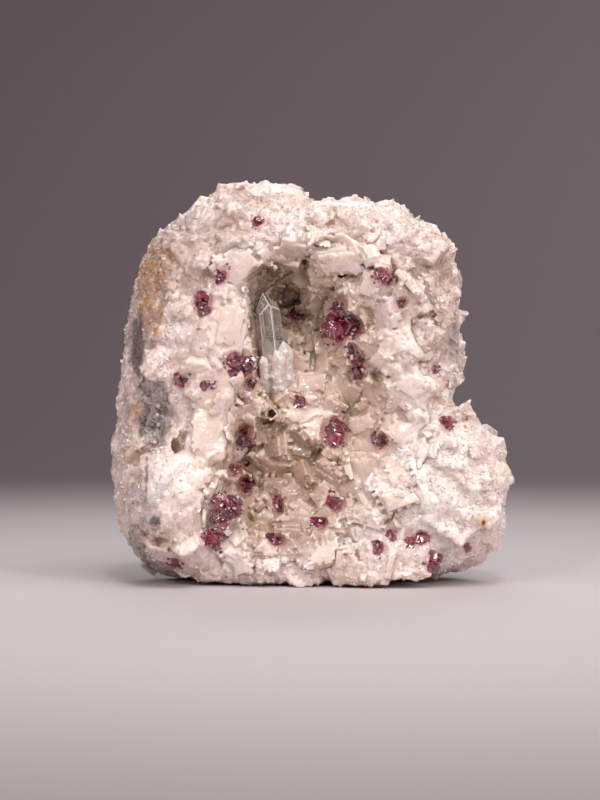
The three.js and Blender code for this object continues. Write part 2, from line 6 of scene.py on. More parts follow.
import bmesh
import bpy
import numpy as np
from mathutils import Matrix, Vector, noise
from mathutils.bvhtree import BVHTree


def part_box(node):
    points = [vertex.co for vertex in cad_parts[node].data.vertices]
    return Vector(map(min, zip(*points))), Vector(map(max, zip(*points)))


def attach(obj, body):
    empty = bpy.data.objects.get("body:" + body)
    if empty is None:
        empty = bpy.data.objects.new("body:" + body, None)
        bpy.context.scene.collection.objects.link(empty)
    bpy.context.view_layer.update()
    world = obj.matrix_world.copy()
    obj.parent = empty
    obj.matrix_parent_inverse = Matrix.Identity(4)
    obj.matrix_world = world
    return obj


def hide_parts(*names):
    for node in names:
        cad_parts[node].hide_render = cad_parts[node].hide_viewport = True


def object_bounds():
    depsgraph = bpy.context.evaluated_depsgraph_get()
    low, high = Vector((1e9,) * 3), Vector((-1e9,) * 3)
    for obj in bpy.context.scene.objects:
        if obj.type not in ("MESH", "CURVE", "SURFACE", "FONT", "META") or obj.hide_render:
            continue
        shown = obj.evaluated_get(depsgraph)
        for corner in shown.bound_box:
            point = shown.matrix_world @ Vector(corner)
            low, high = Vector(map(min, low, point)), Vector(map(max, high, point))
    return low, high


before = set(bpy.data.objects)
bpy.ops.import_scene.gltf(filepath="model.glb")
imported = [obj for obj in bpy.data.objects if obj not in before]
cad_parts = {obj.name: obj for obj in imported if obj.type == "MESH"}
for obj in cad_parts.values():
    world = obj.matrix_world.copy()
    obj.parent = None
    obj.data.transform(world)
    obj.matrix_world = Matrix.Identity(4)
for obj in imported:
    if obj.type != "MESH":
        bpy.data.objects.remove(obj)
cad_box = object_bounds()

MM = 0.001
SEED = 41270

# Without a seed of its own, Blender's noise takes the time of day
noise.seed_set(SEED)

# The lists of places give x and z as seen from the front, and the footprint's middle is then moved
# to the origin
FOOTPRINT_MIDDLE = (-0.15, 8.39)

# Where rays from the front start, and how close two corners are one
RAY_START = -100 * MM
SAME_PLACE = 0.0001 * MM

# Voxels of the bodies, and of the bodies fused with their crystals
BODY_VOXEL = 0.28 * MM
ROCK_VOXEL = 0.12 * MM
CRUST_VOXEL = 0.1 * MM

# Plain, smooth bodies that carry the crystals, and how far from them the rough surface is looked for
PLAIN_VOXEL = 0.5 * MM
ROCK_EVEN_STEPS = 40
CRUST_EVEN_STEPS = 10
SNAP_DISTANCES = (1.5 * MM, 3.5 * MM)

# Most triangles of a skin, and the share that its hidden parts lose first
MOST_TRIANGLES = 195000
HIDDEN_LOSS = 0.85

# How far a body grows at its contact with another, and the crust's back into the rock. The flat base
# stays flat, and relief fades in above it. A skin may stand out of the CAD box by the spare.
CONTACT_GROWTH = 0.2 * MM
HIDDEN_GROWTH = 1.2 * MM
BASE_HEIGHT = 0.7 * MM
BOX_SPARE = (0.5, 0.3, 0.6)

# Marks on the skins: the reach of each, and the crease that stays sharp
CREVICE_REACH = 2.6 * MM
CREVICE_START = 0.06 * MM
CREVICE_DIRECTIONS = 24
TONE_REACH = 0.15 * MM
HALO_REACH = 0.6 * MM
HALO_DEPTH = 1.4 * MM
SHARP_SKIN_ANGLE = math.radians(34)

# Relief in millimetres. A swell and a step have their size and height, a facet its size and slope, and
# the rock's facets grow towards the back.
SWELL_DETAIL = (0.8, 2.0, 3)
ROCK_SWELL = (5, 0.3)
ROCK_STEP = (5, 0.28)
ROCK_FACET = (1.6, 0.2)
ROCK_FACET_GROWTH = (1.0, 0.75)
FINE_FACET = (0.7, 0.45)
FRONT_FINE_SHARE = 0.15
FINE_SHIFT = Vector((0.1, 0.2, 0.3))
TILT_SHIFT = 7.3
CRUST_SWELL = (3, 0.12)
CRUST_FACET = (1.4, 0.25)

# How bent the edges of the steps are, and how many steps one size holds
STEP_BEND_SIZE = 0.8
STEP_BEND = 0.35
STEPS_PER_SIZE = 5

# What the rock's right shoulder and the notch below it lose to match the outline, in millimetres
SHOULDER_LOSS = 0.9
NOTCH_LOSS = 1.2

# Dolomite crystals that show one by one: x, z, width and height, and turn, yaw and pitch in degrees.
# Those left of SIDE_PLATES_X grew on the rock, the others on the crust.
LARGE_PLATES = [
    (-7.8, 33.6, 5.2, 5.0, 45, 12, 8),
    (-9.2, 27.3, 4.4, 6.6, 8, 14, 0),
    (-1.4, 32.8, 5.4, 3.4, 25, 5, 20),
    (3.0, 34.2, 4.0, 7.0, 80, -8, 24),
    (6.1, 31.5, 3.2, 4.2, 20, -22, 8),
    (1.2, 30.0, 4.0, 2.6, -10, -5, 10),
    (8.5, 25.2, 4.6, 4.0, 55, -25, -6),
    (-0.3, 17.6, 6.4, 3.2, 20, 5, -22),
    (-0.3, 21.2, 5.0, 2.8, -5, -4, -12),
    (6.1, 16.9, 2.8, 5.0, 70, -38, 5),
    (9.3, 16.4, 4.0, 3.2, 15, -15, -10),
    (-1.4, 13.8, 5.0, 3.2, 12, 8, -15),
    (-5.3, 13.8, 3.2, 3.2, 40, 18, -5),
    (-2.4, 10.1, 3.6, 3.2, 30, 0, -18),
    (-5.3, 7.0, 4.0, 3.6, 50, 12, -8),
    (-1.4, 6.5, 4.0, 4.0, 40, -6, -16),
    (-4.5, 3.9, 4.5, 3.2, 8, 4, -25),
    (-8.0, 3.6, 3.0, 2.6, 30, 10, -12),
    (0.9, 3.6, 4.0, 3.0, -15, -5, -20),
    (3.9, 10.1, 4.2, 4.8, 65, -20, -8),
    (5.6, 12.4, 3.0, 4.0, 80, -28, 0),
    (1.8, 12.4, 4.0, 2.8, 15, -8, -10),
    (10.1, 20.8, 4.2, 4.0, 35, -18, 0),
    (9.0, 29.6, 3.6, 4.4, 60, -20, 10),
    (-10.9, 16.4, 4.0, 5.8, 5, 16, -4),
    (-10.4, 21.0, 3.6, 4.6, 30, 14, 4),
    (-9.0, 12.4, 3.8, 3.4, 25, 20, -10),
]
SIDE_PLATES_X = -8.6
PLATE_THICKNESS = 1.2
PLATE_PROUD = 0.1 * MM

# The width of one step of a plate's edge in millimetres, the part of its size that smaller crystals
# stay off, and what is added to its tone to tell it from them
PLATE_CELL = 0.36
PLATE_CLEAR = 0.36
PLATE_TONE = 2

# Upright ribs of crystal along the lower right edge: where they start and end, and their size
RIB_START = 3.0
RIB_END = 12.4
RIB_SPACING = 1.0
RIB_HEIGHT = (2.6, 4.6)
RIB_WIDTH = (0.9, 1.7)
RIB_THICKNESS = 1.1
RIB_MIDDLE = 2.9

# Crystals fused with the crust and the rock: how many, their smallest and largest size, the bounds of
# their thickness as a share of their width, how much they lean, and how deep they sit as a share of
# their thickness
HOLLOW_PETALS = (230, (1.6, 4.2), (0.26, 0.4), 0.4, 0.1)
RECESS_PETALS = (170, (0.8, 2.2), (0.26, 0.4), 0.4, 0.1)
WALL_PETALS = (170, (1.2, 2.8), (0.26, 0.4), 0.4, 0.1)
HOLLOW_BLOCKS = (90, (0.4, 1.1), (0.7, 1), 0.8, 0.15)
RIM_PETALS = (240, (1.1, 2.8), (0.22, 0.32), 0.2, 0.2)
LEFT_PETALS = (110, (1.2, 3.2), (0.16, 0.24), 0.16, 0.25)
RIM_BLOCKS = (1200, (0.35, 0.9), (0.7, 1), 0.9, 0.5)
STRIP_BLOCKS = (500, (0.35, 0.9), (0.7, 1), 0.9, 0.4)
BACK_BLOCKS = (900, (0.9, 2.8), (0.5, 1), 0.7, 0.35)
SEAM_PETALS = (100, (1.0, 2.4), (0.22, 0.32), 0.3, 0.15)
SEAM_REACH = 0.9 * MM

# Sparkling grains that stay separate, and how deep light goes into them
HOLLOW_GRAINS = (1000, (0.15, 0.5), (0.6, 1), 0.9, 0.2)
RIM_GRAINS = (6500, (0.15, 0.5), (0.6, 1), 0.9, 0.2)
GRAIN_SOAK = 0.05 * MM
GRAIN_EDGE_ANGLE = math.radians(30)

# The small crystals on the quartz foot, up to some height
FOOT_BLOCKS = (130, (0.25, 0.8), (0.7, 1), 0.6, 0.1)
FOOT_TOP = 23.6

# The round knob at the lower left: its middle, its radius, how far it swells out and the depth of the
# groove at its left
KNOB = (-15.0, 9.6)
KNOB_RADIUS = 4.8
KNOB_RISE = 1.1
KNOB_GROOVE = 1.1
KNOB_GROOVE_WIDTH = 0.9

# The deep recess behind the quartz point, where only small crystals grow: x, z, half width and half height
RECESS = (-2.8, 29.3, 4.4, 4.7)

# The rock at the recess's side, in the same way
RECESS_SIDE = (-5.5, 28, 4.5, 7)

# Cinnabar: how far a crystal stands out as a share of its size. A lump has one large crystal, or several
# from some area in square millimetres on.
CINNABAR_PROUD = 0.1
WIDE_LUMP = 2.2
WIDE_LUMP_CRYSTALS = 3

# The fewest small crystals of a lump, and how many more for each square millimetre. The outer ones grow
# around it, so many for each millimetre of its length.
FEWEST_SMALL = 3
SMALL_PER_AREA = 2.2
OUTER_PER_WIDTH = 3.5

# Sizes of the large crystals as shares of the lump's narrow side, and of the small and outer ones in
# millimetres, with the share of that side that no crystal passes
LARGE_CINNABAR = (0.7, 0.95)
SMALL_CINNABAR = (0.5, 1.2)
OUTER_CINNABAR = (0.2, 0.42)
LARGEST_SHARE = 0.85

# A crystal's length and thickness as shares of its width
CINNABAR_LENGTH = (0.7, 1.3)
CINNABAR_THICKNESS = (0.6, 1)

# How far from a lump's middle its crystals grow as shares of its half size, and how much they lean
LARGE_REACH = 0.3
SMALL_REACH = 0.95
OUTER_REACH = (0.9, 1.35)
CINNABAR_LEAN = 0.5

# How far behind and ahead of its CAD node a crystal may follow the rock
CINNABAR_BEHIND = 1.0 * MM
CINNABAR_AHEAD = 0.5 * MM

# Sockets that keep the dolomite crystals clear of what they would hide: how deep behind its front a lump of
# cinnabar and a quartz point show, as shares of their size, and the width of the slope around them
CINNABAR_SHOWN = 0.12
QUARTZ_SHOWN = 0.4
SOCKET_SLOPE = 0.35

# Quartz: foot and tip of the clear point and of the milky ones that hold its foot, and their radius
CLEAR_POINT = ((-3.9, 7.2, 20.6), (-5.0, 3.6, 31.0), 1.32)
MILKY_POINTS = [
    ((-3.9, 7.2, 20.4), (-4.5, 5.3, 26.4), 1.36),
    ((-2.9, 6.9, 20.4), (-3.0, 4.4, 25.8), 0.85),
    ((-3.6, 6.3, 20.2), (-3.8, 3.9, 24.8), 0.7),
    ((-4.9, 6.4, 20.3), (-5.3, 4.4, 24.2), 0.55),
]

# The width of a point's bevelled edges in radii, painted white as highlights on the clear point, its turn
# about its axis, its radii at the foot and the tip as shares, and how far the prism that its end faces cut
# goes, as a share of its length
QUARTZ_EDGE = 0.055
PRISM_TURN = math.radians(18)
QUARTZ_TAPER = (1.08, 0.96)
PRISM_EXCESS = 1.2

# End faces of a quartz point: where they face and how far from upright in degrees, and their height
# above the tip in radii
END_FACES = (
    (228, 64, 0.3),
    (288, 56, 0.4),
    (348, 50, -0.45),
    (48, 52, -0.2),
    (108, 52, 0.3),
    (168, 64, 0.2),
)

# How much the end faces' heights differ from point to point
END_UNEVENNESS = 0.1

# Voxels of the milky foot
MILKY_VOXEL = 0.07 * MM

# Cinnabar: node, x, z, width, height, turn in degrees
CINNABAR = [
    ("cinnabar_top_edge", -5.8, 38.0, 0.9, 1.3, 10),
    ("cinnabar_top_left_blade", -9.5, 32.5, 0.8, 2.0, 35),
    ("cinnabar_upper_left", -11.4, 29.5, 1.6, 2.2, -15),
    ("cinnabar_left_rim_outer", -13.8, 21.6, 1.3, 1.1, 20),
    ("cinnabar_left_rim_inner", -10.8, 21.1, 1.3, 0.9, -10),
    ("cinnabar_left_wall_cluster", -8.2, 23.3, 1.7, 2.1, 10),
    ("cinnabar_left_wall_cluster", -6.9, 23.2, 1.9, 1.9, -25),
    ("cinnabar_left_wall_lower", -6.6, 21.1, 1.0, 1.1, 30),
    ("cinnabar_quartz_foot", -5.3, 22.5, 0.7, 1.3, 5),
    ("cinnabar_upper_recess", -1.6, 28.4, 1.6, 0.8, 12),
    ("cinnabar_upper_cluster", 2.7, 29.0, 1.4, 2.4, 5),
    ("cinnabar_upper_cluster", 2.1, 26.8, 2.3, 2.6, -20),
    ("cinnabar_upper_cluster", 3.9, 27.1, 2.4, 2.1, 30),
    ("cinnabar_chain", 4.0, 24.7, 1.1, 1.0, 0),
    ("cinnabar_chain", 4.6, 23.7, 1.4, 1.4, 25),
    ("cinnabar_chain", 4.8, 22.4, 1.3, 1.4, -15),
    ("cinnabar_upper_right", 7.4, 32.2, 2.1, 1.3, 8),
    ("cinnabar_upper_right_small", 9.2, 29.6, 0.9, 0.7, 20),
    ("cinnabar_right_rim", 12.8, 22.7, 0.7, 0.9, 0),
    ("cinnabar_centre_small", -1.4, 19.2, 1.1, 1.1, 15),
    ("cinnabar_dark_dot", -4.4, 18.0, 0.7, 0.7, 0),
    ("cinnabar_left_floor", -7.2, 15.4, 1.6, 2.5, 8),
    ("cinnabar_left_floor_dark", -8.2, 12.0, 1.2, 1.2, -20),
    ("cinnabar_lower_left_single", -7.1, 10.3, 1.3, 1.7, 5),
    ("cinnabar_lower_left_cluster", -9.9, 9.2, 1.7, 1.7, 10),
    ("cinnabar_lower_left_cluster", -8.4, 8.8, 1.4, 1.3, -20),
    ("cinnabar_lower_left_cluster", -8.3, 7.7, 1.5, 1.4, 30),
    ("cinnabar_lower_left_cluster", -9.8, 7.5, 1.8, 1.6, 0),
    ("cinnabar_lower_left_cluster", -9.4, 6.1, 1.6, 1.5, 45),
    ("cinnabar_lower_left_cluster", -10.4, 5.1, 2.2, 1.5, 20),
    ("cinnabar_lower_centre_left", -3.6, 8.4, 0.9, 1.5, -12),
    ("cinnabar_lower_centre_base", -3.9, 5.0, 1.3, 1.1, 25),
    ("cinnabar_bottom_left", -14.3, 2.5, 1.6, 0.9, 15),
    ("cinnabar_centre", 2.4, 15.9, 2.4, 3.0, -12),
    ("cinnabar_centre_right", 7.0, 15.3, 1.5, 1.3, 30),
    ("cinnabar_right_shoulder", 14.0, 17.0, 1.3, 1.1, 10),
    ("cinnabar_lower_centre", 2.3, 8.9, 1.6, 1.8, -35),
    ("cinnabar_lower_centre_small", 0.7, 6.7, 1.3, 1.0, 0),
    ("cinnabar_rib_upper", 8.2, 5.7, 0.8, 1.5, 5),
    ("cinnabar_rib_lower", 6.7, 4.2, 0.9, 1.7, -8),
    ("cinnabar_lower_right_upper", 11.4, 5.3, 1.5, 1.2, 22),
    ("cinnabar_lower_right_middle", 10.1, 4.7, 0.9, 0.9, 0),
    ("cinnabar_lower_right_base", 12.5, 2.7, 1.9, 1.7, 40),
    ("cinnabar_lower_right_outer", 16.0, 4.1, 0.8, 0.7, 12),
]

# Specks of cinnabar: x, z and size
SPECKS = [(-4.9, 8.1, 0.3), (-2.1, 23.8, 0.4), (-12.8, 22.2, 0.3), (-9.0, 1.0, 0.25)]


# Places and objects

def placed(x, y, z):
    """A point given in the lists' millimetres, in the model's metres"""
    return Vector((x - FOOTPRINT_MIDDLE[0], y - FOOTPRINT_MIDDLE[1], z)) * MM


def front_point(tree, x, z):
    """First point that a ray from the front meets at x and z"""
    start = placed(x, 0, z)
    start.y = RAY_START
    return tree.ray_cast(start, Vector((0, 1, 0)))[0]


def taken_from(shape, name):
    """A mesh with what a bmesh holds, which is then freed"""
    mesh = bpy.data.meshes.new(name)
    shape.to_mesh(mesh)
    shape.free()
    return mesh


def object_of(name, mesh, material):
    """A new object at the origin, in the scene"""
    obj = bpy.data.objects.new(name, mesh)
    bpy.context.scene.collection.objects.link(obj)
    mesh.materials.append(material)
    return obj


def finished(obj, slot, *nodes):
    """The object rides on the specimen and stands for its nodes. The slot is not used."""
    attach(obj, "root")
    if nodes:
        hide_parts(*nodes)


# Skins of the rock and the crust

def with_modifiers(mesh, *settings, weights=None):
    """The mesh that a mesh becomes under some modifiers, each given as its type and its values.
    Weights of 0 or 1 are the vertex group hidden."""
    obj = bpy.data.objects.new("work", mesh)
    bpy.context.scene.collection.objects.link(obj)
    if weights is not None:
        group = obj.vertex_groups.new(name="hidden")
        group.add(np.nonzero(weights)[0].tolist(), 1.0, "REPLACE")
    for kind, values in settings:
        modifier = obj.modifiers.new(kind, kind)
        for name, value in values.items():
            setattr(modifier, name, value)
    bpy.context.view_layer.update()
    result = bpy.data.meshes.new_from_object(obj.evaluated_get(bpy.context.evaluated_depsgraph_get()))
    bpy.data.objects.remove(obj)
    return result


def fine_skin(name, node, voxel, smooth_steps):
    """The closed body of a CAD node as one even mesh, smoothed by some steps"""
    body = bmesh.new()
    body.from_mesh(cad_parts[node].data)
    bmesh.ops.remove_doubles(body, verts=body.verts, dist=SAME_PLACE)
    mesh = taken_from(body, name + "_body")
    skin = with_modifiers(mesh, ("REMESH", {"mode": "VOXEL", "voxel_size": voxel}),
                          ("SMOOTH", {"factor": 0.5, "iterations": smooth_steps}))
    skin.name = name
    return skin


def facet_height(point, cell, slope):
    """Height of a surface broken into flat tilted facets"""
    _, centres = noise.voronoi(point / cell)
    offset = point / cell - centres[0]
    tilt = noise.noise_vector(centres[0] * TILT_SHIFT)
    return tilt.dot(offset) * cell * slope


def terraces(point, cell, height):
    """Height of a surface of overlapping low steps with curved edges"""
    bent = point + noise.noise_vector(point / (STEP_BEND_SIZE * cell)) * STEP_BEND * cell
    value = noise.noise(bent / cell) * STEPS_PER_SIZE
    return (value - math.floor(value) - 0.5) * height


def ramp(value, low, high):
    """0 below low, 1 above high and smooth between"""
    share = min(1, max(0, (value - low) / (high - low)))
    return share * share * (3 - 2 * share)


def swell_height(point, size, rise):
    """Height of a softly swelling surface"""
    return noise.fractal(point / (size * MM), *SWELL_DETAIL) * rise * MM


def knob_height(x, z):
    """How far the knob swells out, less the groove at its left"""
    from_middle = math.hypot(x - KNOB[0], z - KNOB[1])
    swelling = KNOB_RISE * max(0, 1 - (from_middle / KNOB_RADIUS) ** 2)
    in_groove = ramp(1 - abs(from_middle - KNOB_RADIUS) / KNOB_GROOVE_WIDTH, 0, 1)
    return swelling - KNOB_GROOVE * in_groove * (1 - ramp(x, -15, -13))


def rock_relief(point, normal):
    """How far the rock's skin moves out at a point, in metres"""
    x, y, z = point / MM
    knob = 1 - ramp(math.hypot(x - KNOB[0], z - KNOB[1]), 0.8 * KNOB_RADIUS, KNOB_RADIUS)
    rough = (1 - 0.9 * side_wall(point, normal)) * (1 - 0.3 * knob)
    back = ramp(y, -4, 0)
    broad = swell_height(point, *ROCK_SWELL)
    facet_size = ROCK_FACET[0] + ROCK_FACET_GROWTH[0] * back
    facet_slope = ROCK_FACET[1] + ROCK_FACET_GROWTH[1] * back
    facets = facet_height(point, facet_size * MM, facet_slope)
    fine_share = FRONT_FINE_SHARE + (1 - FRONT_FINE_SHARE) * back
    fine = facet_height(point + FINE_SHIFT, FINE_FACET[0] * MM, FINE_FACET[1]) * fine_share
    steps = terraces(point, ROCK_STEP[0] * MM, ROCK_STEP[1] * MM) * (1 - back)
    shaped = knob_height(x, z) * ramp(-normal.y, 0.1, 0.6) * MM
    shoulder = ramp(x, -4, 1) * ramp(z, 36, 39) * ramp(normal.z, 0.1, 0.8)
    notch = ramp(x, 14, 15.5) * (1 - ramp(abs(z - 18.5), 1, 4)) * ramp(normal.x, 0, 0.6)
    lost = (SHOULDER_LOSS * shoulder + NOTCH_LOSS * notch) * MM
    return rough * (broad + facets + fine + steps) + shaped - lost


def crust_relief(point, normal):
    """How far the crust's skin moves out: the side that lies on the rock grows into it"""
    facets = facet_height(point, CRUST_FACET[0] * MM, CRUST_FACET[1])
    return swell_height(point, *CRUST_SWELL) + facets + HIDDEN_GROWTH * ramp(normal.y, 0.3, 0.8)


def side_wall(point, normal):
    """1 on the smooth white wall that bounds the specimen on the left, 0 elsewhere"""
    facing = ramp(0.5 * normal.z - 0.85 * normal.x, 0.75, 0.9)
    return facing * ramp(normal.y, -0.3, -0.12) * ramp(-point.x / MM, 9, 12) * ramp(point.z / MM, 9, 12)


def relieved(skin, relief, growth):
    """Moves each vertex of a skin along its normal. The flat base stays flat."""
    for vertex, normal in zip(skin.vertices, [Vector(entry.vector) for entry in skin.vertex_normals]):
        point = vertex.co.copy()
        clear_of_base = ramp(point.z, 0.1 * MM, BASE_HEIGHT)
        vertex.co = point + normal * (growth + relief(point, normal)) * clear_of_base
    skin.update()


def array_of(items, name, width):
    """A property of all vertices or edges as an array"""
    values = np.empty(len(items) * width)
    items.foreach_get(name, values)
    return values.reshape(-1, width)


def places_of(mesh):
    """Places of a mesh's vertices"""
    return array_of(mesh.vertices, "co", 3)


def normals_of(mesh):
    """Normals of a mesh's vertices"""
    return array_of(mesh.vertex_normals, "vector", 3)


def edge_ends(mesh):
    """The two vertices of each edge"""
    return array_of(mesh.edges, "vertices", 2).astype(int)


def press_back(mesh, sockets):
    """Moves back what stands in front of a socket's floor"""
    places = places_of(mesh)
    for centre, half_width, half_height, turn in sockets:
        aside, up = places[:, 0] - centre.x, places[:, 2] - centre.z
        along = aside * math.cos(turn) + up * math.sin(turn)
        across = up * math.cos(turn) - aside * math.sin(turn)
        reach = np.hypot(along / half_width, across / half_height)
        share = np.clip((1 + SOCKET_SLOPE - reach) / SOCKET_SLOPE, 0, 1)
        places[:, 1] += np.maximum(centre.y - places[:, 1], 0) * share * share * (3 - 2 * share)
    mesh.vertices.foreach_set("co", places.ravel())
    mesh.update()


def fused(name, base, crystals, voxel, hidden):
    """A body's skin and the crystals grown on it as one fine mesh, thinned out most where it is hidden"""
    body = bmesh.new()
    body.from_mesh(base)
    body.from_mesh(mesh_of(name + "_crystals", crystals))
    mesh = taken_from(body, name + "_body")
    press_back(mesh, SOCKETS)
    mesh = with_modifiers(mesh, ("REMESH", {"mode": "VOXEL", "voxel_size": voxel}),
                          ("SMOOTH", {"factor": 0.3, "iterations": 1}))
    spare = np.array(BOX_SPARE) * MM
    low, high = np.array(cad_box[0]) - spare, np.array(cad_box[1]) + spare
    low[2] = 0
    mesh.vertices.foreach_set("co", np.clip(places_of(mesh), low, high).ravel())
    mesh.update()
    out_of_sight = hidden(places_of(mesh), normals_of(mesh))
    mesh = with_modifiers(mesh, ("DECIMATE", {"ratio": 1 - HIDDEN_LOSS * out_of_sight.mean(),
                                              "vertex_group": "hidden"}), weights=out_of_sight)
    mesh.calc_loop_triangles()
    ratio = min(1, MOST_TRIANGLES / len(mesh.loop_triangles))
    skin = with_modifiers(mesh, ("DECIMATE", {"ratio": ratio, "use_collapse_triangulate": True}))
    skin.name = name
    skin.shade_smooth()
    skin.set_sharp_from_angle(angle=SHARP_SKIN_ANGLE)
    return skin


def tree_of(*meshes):
    """Search tree over the triangles of some meshes"""
    corners, triangles, total = [], [], 0
    for mesh in meshes:
        mesh.calc_loop_triangles()
        corners += [vertex.co.copy() for vertex in mesh.vertices]
        for triangle in mesh.loop_triangles:
            triangles.append(tuple(index + total for index in triangle.vertices))
        total = len(corners)
    return BVHTree.FromPolygons(corners, triangles)


def written(mesh, name, values):
    """Values of a vertex attribute"""
    attribute = mesh.attributes.new(name, "FLOAT", "POINT")
    attribute.data.foreach_set("value", np.asarray(values, np.float32))


def round_directions(count):
    """Unit vectors spread evenly over the sphere"""
    golden = math.pi * (3 - math.sqrt(5))
    directions = []
    for index in range(count):
        height = 1 - (2 * index + 1) / count
        radius = math.sqrt(1 - height * height)
        around = golden * index
        directions.append(Vector((radius * math.cos(around), radius * math.sin(around), height)))
    return directions


def mark_crevices(mesh, tree):
    """Attribute crevice: how much of what a vertex faces is close by. The materials paint shade into
    crevices by it.
    """
    directions = round_directions(CREVICE_DIRECTIONS)
    values = np.zeros(len(mesh.vertices))
    for index, vertex in enumerate(mesh.vertices):
        normal = vertex.normal
        start = vertex.co + normal * CREVICE_START
        faced = [direction for direction in directions if direction.dot(normal) > 0.2]
        met = sum(1 for direction in faced if tree.ray_cast(start, direction, CREVICE_REACH)[0])
        values[index] = met / max(1, len(faced))
    written(mesh, "crevice", blurred(mesh, values, 2))


def blurred(mesh, values, steps):
    """Values averaged with those of the neighbouring vertices"""
    ends = edge_ends(mesh)
    for _ in range(steps):
        total = values.copy()
        count = np.ones(len(values))
        np.add.at(total, ends[:, 0], values[ends[:, 1]])
        np.add.at(total, ends[:, 1], values[ends[:, 0]])
        np.add.at(count, ends.ravel(), 1)
        values = total / count
    return values


def mark_edges(mesh):
    """Attribute edge: how sharply the surface turns away at a vertex, 0 where it is flat or hollow. The
    materials paint highlights on edges by it.
    """
    places, normals = places_of(mesh), normals_of(mesh)
    ends = edge_ends(mesh)
    along = places[ends[:, 1]] - places[ends[:, 0]]
    along /= np.linalg.norm(along, axis=1, keepdims=True) + 1e-12
    total, count = np.zeros(len(places)), np.zeros(len(places))
    np.add.at(total, ends[:, 0], -(normals[ends[:, 0]] * along).sum(axis=1))
    np.add.at(total, ends[:, 1], (normals[ends[:, 1]] * along).sum(axis=1))
    np.add.at(count, ends.ravel(), 1)
    written(mesh, "edge", np.clip(blurred(mesh, total / np.maximum(count, 1), 1), 0, 1))


def mark_tones(mesh, crystals):
    """Attribute tone: each crystal's own value, kept on the fused skin"""
    corners, triangles, tones = crystals
    tree = BVHTree.FromPolygons(corners.tolist(), triangles.tolist())
    values = np.full(len(mesh.vertices), 0.5)
    for index, vertex in enumerate(mesh.vertices):
        _, _, triangle, _ = tree.find_nearest(vertex.co, TONE_REACH)
        if triangle is not None:
            values[index] = tones[triangles[triangle][0]]
    plates = values >= PLATE_TONE
    written(mesh, "tone", values - PLATE_TONE * plates)
    written(mesh, "plate", blurred(mesh, plates.astype(float), 1))


def mark_wall(mesh):
    """Attribute wall: 1 on the smooth white wall of the left side"""
    written(mesh, "wall", [side_wall(vertex.co, vertex.normal) for vertex in mesh.vertices])


def mark_halos(mesh):
    """Attribute halo: 1 beside a cinnabar crystal and 0 away from it"""
    places = places_of(mesh)
    values = np.zeros(len(places))
    for name, x, z, width, height, _ in CINNABAR:
        middle = placed(x, 0, z)
        aside = np.hypot(places[:, 0] - middle.x, places[:, 2] - middle.z) - (width + height) / 4 * MM
        behind = np.abs(places[:, 1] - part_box(name)[0].y) - HALO_DEPTH
        away = np.maximum(aside, behind)
        values = np.maximum(values, np.clip(1 - away / HALO_REACH, 0, 1))
    written(mesh, "halo", values)


# Crystal shapes

def arrays_of(shape):
    """Corners and triangles of a shape, which is freed"""
    bmesh.ops.triangulate(shape, faces=shape.faces)
    shape.verts.index_update()
    corners = np.array([vert.co[:] for vert in shape.verts])
    triangles = np.array([[vert.index for vert in face.verts] for face in shape.faces])
    shape.free()
    return corners, triangles


def sheet_of(cells, reach, rng):
    """Flat sheet, 1 wide and 1 high, whose edges are stepped like those of a rhombohedral crystal"""
    sheet = bmesh.new()
    bmesh.ops.create_grid(sheet, x_segments=cells, y_segments=cells, size=0.5)
    ends = rng.uniform(0.74, 1, (4, cells)) * reach
    lost = []
    for face in sheet.faces:
        u, v = 2 * face.calc_center_median().xy
        column, row = int((u + 1) / 2 * cells), int((v + 1) / 2 * cells)
        inside = -ends[0][row] < u < ends[1][row] and -ends[2][column] < v < ends[3][column]
        if not inside or abs(u) + abs(v) > 1.8 * reach:
            lost.append(face)
    bmesh.ops.delete(sheet, geom=lost, context="FACES")
    return sheet


def saddle_crystal(cells, rng):
    """Saddle-shaped dolomite crystal, 1 wide, 1 high and 1 thick: bent sheets with stepped edges, each
    grown on the one below"""
    bend, cup, skew = rng.uniform(0.2, 0.9), rng.uniform(-0.3, 0.6), rng.uniform(0.05, 0.3)
    groups = []
    for level in range(rng.integers(2, 4)):
        sheet = sheet_of(cells, 1 - 0.17 * level, rng)
        lower = set(sheet.verts)
        bmesh.ops.extrude_face_region(sheet, geom=list(sheet.faces))
        aside = rng.uniform(-0.07, 0.07, 2) * level
        for vert in sheet.verts:
            u, v = 2 * vert.co.xy
            half = 0.38 * (1 - 0.4 * max(abs(u), abs(v)) ** 2)
            rise = 0.5 * bend * u * v - 0.12 * cup * (u * u + v * v) + 0.24 * level
            vert.co.z = rise + (-half if vert in lower else half)
            vert.co.x += skew * vert.co.y + aside[0]
            vert.co.y += aside[1]
        bmesh.ops.recalc_face_normals(sheet, faces=sheet.faces)
        corners, triangles = arrays_of(sheet)
        groups.append((corners, triangles, np.zeros(len(corners))))
    return together(*groups)[:2]


def rhomb(rng, squash=0.8):
    """Small rhombohedron with slightly uneven corners, about 1 across"""
    shape = bmesh.new()
    bmesh.ops.create_cube(shape, size=0.8)
    diagonal = Vector((1, 1, 1)).normalized()
    turn = diagonal.rotation_difference(Vector((0, 0, 1))).to_matrix().to_4x4()
    squeeze = Matrix.Diagonal((1, 1, squash, 1))
    bmesh.ops.transform(shape, matrix=turn.inverted() @ squeeze @ turn, verts=shape.verts)
    for vert in shape.verts:
        vert.co += Vector(rng.uniform(-0.07, 0.07, 3))
    return shape


